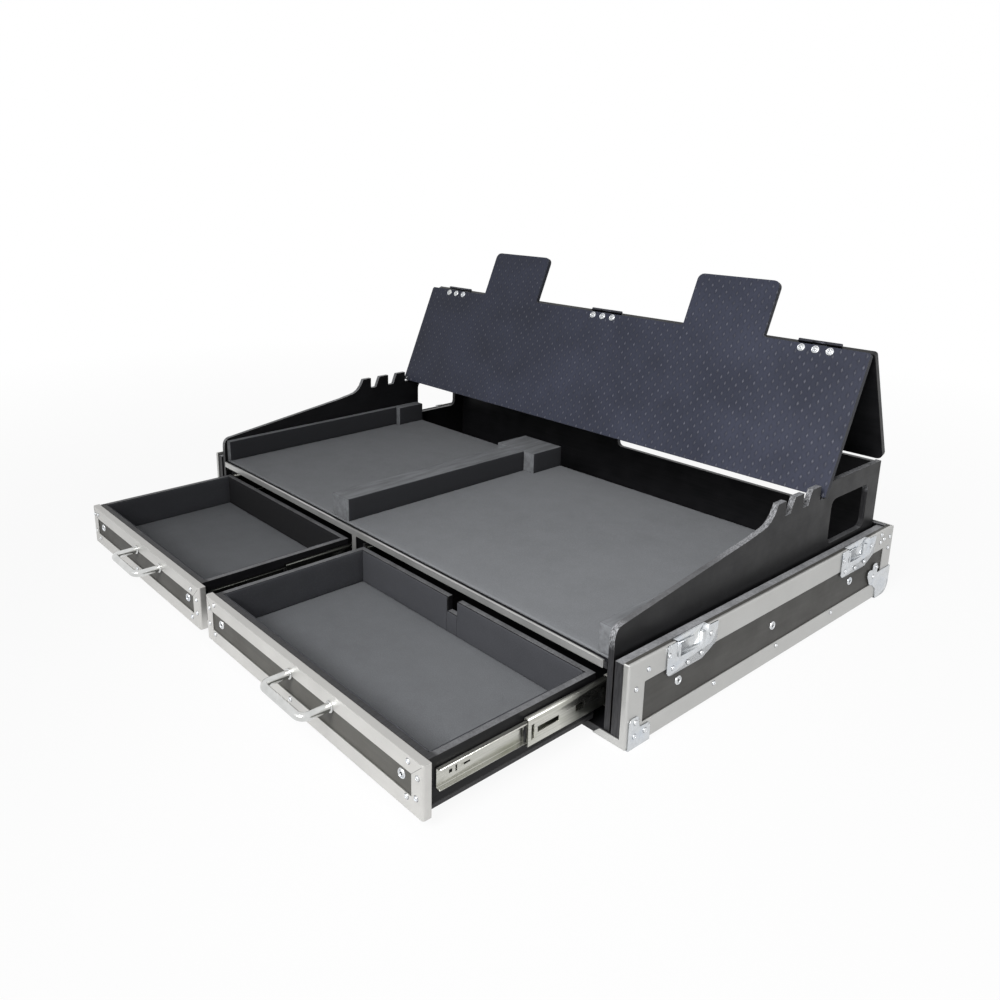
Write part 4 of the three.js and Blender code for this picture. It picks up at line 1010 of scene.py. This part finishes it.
class CASE_OT_rivets(bpy.types.Operator):
    """Rivets in the strikes, the corners, the edging and the drawer fronts"""

    bl_idname = "case.rivets"
    bl_label = "Rivets"

    # All in millimetres. Along the case and up, from the strike's middle and the tray's top
    strike = ((-52, -15), (-43.5, -36), (-9.6, -39.5), (21, -36.6), (41.2, -14.5))
    # Along from the tray's front and up from the ground, in the edging, the brace and the ball corner, each
    # with the node that says where the outer face is
    plates = (
        ("side_frame", ((40, 106), (16, 86), (196, 24.5), (360, 24.5), (527, 24.5),
                        (680, 119), (679, 105.6), (691, 108.5), (713, 107.5), (711, 87.5))),
        ("corner_brace", ((17.6, 38), (38.6, 18.3), (16.7, 18))),
        ("corner_brace", ((665.7, 46.5), (674.2, 61.9))),
    )
    # Along each drawer front from its left or right end, and up from its foot
    corners = {
        ("left", 1): ((8, 57.5), (23.5, 60), (11.5, 24), (28.5, 13.5)),
        ("left", -1): ((28.6, 61), (8.8, 49.5), (8.6, 26.5), (28.4, 12)),
        ("right", 1): ((28, 65), (11.5, 54), (11, 28), (27.5, 15.6)),
        ("right", -1): ((26.9, 64.6), (10.1, 51.6), (12.5, 23.6), (29.7, 16.4)),
    }
    # Each drawer front's last rivet, on its lower flange: across the case, and up from the front's foot
    lower = {"left": -300, "right": 225.8}
    lower_up = 14

    def execute(self, context):
        pattern = rivet_pattern()
        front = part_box("side_frame_right")[0].y
        tray = []
        for side, sign in SIGNS.items():
            outwards = (sign, 0, 0)
            for plate, spots in self.plates:
                face = side_face(f"{plate}_{side}", side)
                tray += [spot(face, front + along * MM, up * MM, outwards) for along, up in spots]
            for place in ("front", "rear"):
                node = f"latch_strike_{place}_{side}"
                low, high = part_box(node)
                middle = (low.y + high.y) / 2
                tray += [spot(side_face(node, side), middle + along * MM, high.z + up * MM, outwards)
                         for along, up in self.strike]
        add_fasteners("tray_rivets", [pattern], tray, "case")
        forwards = (0, -1, 0)
        for side in SIDES:
            low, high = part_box(f"drawer_frame_{side}")
            places = [spot(self.lower[side] * MM, low.y, low.z + self.lower_up * MM, forwards)]
            for sign, end in ((1, low.x), (-1, high.x)):
                places += [spot(end + sign * along * MM, low.y, low.z + up * MM, forwards)
                           for along, up in self.corners[side, sign]]
            add_fasteners(f"front_rivets_{side}", [pattern], places, f"drawer_{side}")
        return {"FINISHED"}


class CASE_OT_slide_bumpers(bpy.types.Operator):
    """Black plastic bumper at the front end of each slide's middle section"""

    bl_idname = "case.slide_bumpers"
    bl_label = "Slide bumpers"

    # In metres: lengths of the bumper and of its nose, which clear the closed drawer's front, half the
    # nose's height, how far both keep from the section's sides and the bumper from its top and foot, and the
    # roundings of both
    length = 0.003
    nose = 0.001
    half_height = 0.004
    side_inset = 0.0016
    edge_inset = 0.0085
    rounding = 0.0009
    nose_rounding = 0.0004

    def execute(self, context):
        for side in SIDES:
            work = bmesh.new()
            for half in HALVES:
                low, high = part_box(f"slide_middle_{side}_{half}")
                inner = [corner.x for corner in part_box(f"slide_inner_{side}_{half}")]
                left = max(low.x, inner[0]) + self.side_inset
                right = min(high.x, inner[1]) - self.side_inset
                foot, top = low.z + self.edge_inset, high.z - self.edge_inset
                front = low.y - self.length
                add_block(work, (left, front, foot), (right, low.y, top), self.rounding)
                middle = (foot + top) / 2
                add_block(work, (left, front - self.nose, middle - self.half_height),
                          (right, front, middle + self.half_height), self.nose_rounding)
            finish_piece(f"slide_bumpers_{side}", work, f"runners_{side}", ["black_plastic"])
        return {"FINISHED"}


class CASE_OT_mitre_seams(bpy.types.Operator):
    """The mitred joints at the upper corners of the drawer fronts' edging"""

    bl_idname = "case.mitre_seams"
    bl_label = "Mitre seams"

    # Width of the edging's flange and of the seam, how far the seam is proud, and its rounding, in metres
    flange = 0.021
    width = 0.0004
    proud = 0.00012
    rounding = 0.000048
    # The seam's length and the place of its middle, in shares of the flange's diagonal and of its width
    reach = 0.86
    centre = 0.57

    def execute(self, context):
        half, thick = self.flange * math.sqrt(0.5) * self.reach, self.width / 2
        seam = bmesh.new()
        add_block(seam, (-half, -self.proud, -thick), (half, self.proud, thick), self.rounding, 1)
        pattern = as_mesh(seam, "pattern")
        inset = self.flange * self.centre
        for side in SIDES:
            low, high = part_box(f"drawer_frame_{side}")
            work = bmesh.new()
            for end, across in ((low.x, 1), (high.x, -1)):
                middle = Matrix.Translation((end + across * inset, low.y, high.z - inset))
                repeat(work, pattern, [middle @ Matrix.Rotation(across * math.pi / 4, 4, "Y")])
            finish_piece(f"mitre_seams_{side}", work, f"drawer_{side}", ["grimy_seam"])
        return {"FINISHED"}


class CASE_OT_board_screws(bpy.types.Operator):
    """The screw through each side board into the end of the back board"""

    bl_idname = "case.board_screws"
    bl_label = "Board screws"

    # Depth and height of the screws, and the radius and rise of their heads, in metres
    place = (0.31, 0.225)
    head = (0.0042, 0.0012)

    def execute(self, context):
        places = [spot(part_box(f"cabinet_side_{side}")[sign < 0].x, *self.place, (-sign, 0, 0))
                  for side, sign in SIGNS.items()]
        add_fasteners("board_screws", [screw_pattern(*self.head)], places, "case")
        return {"FINISHED"}


class CASE_OT_cup_screws(bpy.types.Operator):
    """Screws in cup washers on the tray's sides and the drawer fronts"""

    bl_idname = "case.cup_screws"
    bl_label = "Cup screws"

    # In millimetres: along from the tray's front and up from the ground, and across and up on the fronts of
    # the drawers
    side_along = (109.5, 345, 583)
    side_up = 62.5
    front_across = {"left": (-461.6, -89.4), "right": (26.8, 468.6)}
    front_up = 55.5

    def execute(self, context):
        patterns = cup_and_screw()
        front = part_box("side_frame_right")[0].y
        places = []
        for side, sign in SIGNS.items():
            face = side_face(f"side_wall_{side}", side)
            places += [spot(face, front + along * MM, self.side_up * MM, (sign, 0, 0))
                       for along in self.side_along]
        add_fasteners("side_cup_screws", patterns, places, "case")
        for side, across in self.front_across.items():
            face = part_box(f"drawer_panel_{side}")[0].y
            places = [spot(x * MM, face, self.front_up * MM, (0, -1, 0)) for x in across]
            add_fasteners(f"front_cup_screws_{side}", patterns, places, f"drawer_{side}")
        return {"FINISHED"}


class CASE_OT_hinge_screws(bpy.types.Operator):
    """Three screws in cup washers through each leaf of the stand's hinges"""

    bl_idname = "case.hinge_screws"
    bl_label = "Hinge screws"

    # The step from screw to screw, how far they are below the pin, and the thickness of the board, in metres
    pitch = 24.5 * MM
    below_pin = 14.5 * MM
    board = 9 * MM
    leaves = {"front": (FRONT_LEAF, -1, "stand"), "rear": (REAR_LEAF, 1, "stand_rear_leaf")}

    def execute(self, context):
        patterns = cup_and_screw()
        for name, (leaf, sign, body) in self.leaves.items():
            places = []
            for hinge in HINGES:
                low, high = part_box(f"hinge_{name}_{hinge}")
                middle = (low.x + high.x) / 2
                places += [leaf @ spot(middle + step * self.pitch, sign * self.board, -self.below_pin,
                                       (0, sign, 0)) for step in (-1, 0, 1)]
            add_fasteners(f"hinge_screws_{name}", patterns, places, body)
        return {"FINISHED"}


class CASE_OT_studio(bpy.types.Operator):
    """Pale floor, soft lamps and the camera"""

    bl_idname = "case.studio"
    bl_label = "Studio"

    # Each lamp's place, what it looks at and its size in metres, and the spread of its light in degrees
    lamps = {
        "key": ((0.85, -1.8, 1.6), (0.55, 0, 0.15), 1.2, 64),
        "fill": ((-0.3, -2.9, 2.0), (0, 0, 0.15), 2.2, 180),
    }
    # The floor's half width and its level in metres, the grey that takes the shadows, the white that is
    # seen, and the distances between which the white's share grows, with that share at each
    floor_size = 30
    floor_level = -0.0005
    grey = (0.8, 0.8, 0.8, 1)
    white = (1, 1, 1, 1)
    fade = (0.8, 2.4, 0.93, 1.0)
    # How near and how far the camera sees in metres, and its sensor's width in millimetres
    clip = (0.05, 60)
    sensor = 36

    def execute(self, context):
        looks = context.scene.case_studio
        self.floor()
        self.world(looks.sky)
        for name, details in self.lamps.items():
            self.lamp(f"{name}_lamp", *details, getattr(looks, name))
        self.camera(looks)
        context.scene.view_settings.view_transform = "Standard"
        return {"FINISHED"}

    def floor(self):
        work = bmesh.new()
        bmesh.ops.create_grid(work, x_segments=1, y_segments=1, size=self.floor_size,
                              matrix=Matrix.Translation((0, 0, self.floor_level)))
        floor = as_object("floor", as_mesh(work, "floor"))
        paint = bpy.data.materials.new("pale_floor")
        nodes = Nodes(paint)
        plain = nodes.add("BsdfDiffuse", {"Color": self.grey}).outputs[0]
        bright = nodes.add("Emission", {"Color": self.white, "Strength": 1}).outputs[0]
        far = nodes.spread(nodes.measure("LENGTH", nodes.place()), *self.fade)
        share = nodes.times(nodes.seen(), far)
        mixed = nodes.add("MixShader", {0: share, 1: plain, 2: bright}).outputs[0]
        nodes.add("OutputMaterial", {"Surface": mixed})
        floor.data.materials.append(paint)

    def world(self, sky):
        """White where it is seen, and a dimmer light on the scene."""
        world = bpy.data.worlds.new("studio")
        nodes = Nodes(world)
        strength = nodes.maths("ADD", nodes.times(nodes.seen(), 1 - sky), sky)
        light = nodes.add("Background", {"Color": self.white, "Strength": strength}).outputs[0]
        nodes.add("OutputWorld", {"Surface": light})
        bpy.context.scene.world = world

    def lamp(self, name, place, aim, size, spread, power):
        data = bpy.data.lights.new(name, "AREA")
        data.shape = "SQUARE"
        data.size = size
        data.energy = power
        data.spread = math.radians(spread)
        lamp = as_object(name, data)
        lamp.location = place
        lamp.rotation_euler = (Vector(aim) - Vector(place)).to_track_quat("-Z", "Y").to_euler()
        lamp.visible_camera = False

    def camera(self, looks):
        data = bpy.data.cameras.new("camera")
        data.sensor_fit = "HORIZONTAL"
        data.sensor_width = self.sensor
        data.lens = looks.lens
        data.shift_x = looks.shift_x
        data.shift_y = looks.shift_y
        data.clip_start, data.clip_end = self.clip
        camera = as_object("camera", data)
        bearing, rise = looks.azimuth, looks.elevation
        right = Vector((math.cos(bearing), math.sin(bearing), 0))
        level = Vector((math.sin(bearing), -math.cos(bearing), 0))
        back = level * math.cos(rise) + Vector((0, 0, math.sin(rise)))
        turn = Matrix((right, back.cross(right), back)).transposed() @ Matrix.Rotation(looks.roll, 3, "Z")
        camera.matrix_world = Matrix.Translation(looks.eye) @ turn.to_4x4()
        bpy.context.scene.camera = camera


STEPS = (
    CASE_OT_finish_boards,
    CASE_OT_finish_metal,
    CASE_OT_deck_foam,
    CASE_OT_foam_bars,
    CASE_OT_drawer_linings,
    CASE_OT_pull_handles,
    CASE_OT_rivets,
    CASE_OT_slide_bumpers,
    CASE_OT_mitre_seams,
    CASE_OT_board_screws,
    CASE_OT_cup_screws,
    CASE_OT_hinge_screws,
    CASE_OT_studio,
)


class CASE_PT_sidebar(bpy.types.Panel):
    """Lists the steps that dress the case"""

    bl_idname = "CASE_PT_sidebar"
    bl_label = "Road case"
    bl_space_type = "VIEW_3D"
    bl_region_type = "UI"
    bl_category = "Road case"

    def draw(self, context):
        for step in STEPS:
            self.layout.operator(step.bl_idname)


GROUPS = {"case_finishes": CaseFinishes, "case_foam": FoamSizes, "case_fasteners": FastenerSizes,
          "case_handles": HandleSizes, "case_studio": StudioLooks}


def register():
    for kind in (*GROUPS.values(), *STEPS, CASE_PT_sidebar):
        bpy.utils.register_class(kind)
    for name, kind in GROUPS.items():
        setattr(bpy.types.Scene, name, bpy.props.PointerProperty(type=kind))


def unregister():
    for name in GROUPS:
        delattr(bpy.types.Scene, name)
    for kind in (CASE_PT_sidebar, *reversed(STEPS), *reversed(GROUPS.values())):
        bpy.utils.unregister_class(kind)


def main():
    register()
    for step in STEPS:
        group, name = step.bl_idname.split(".")
        getattr(getattr(bpy.ops, group), name)()


if __name__ == "__main__":
    main()
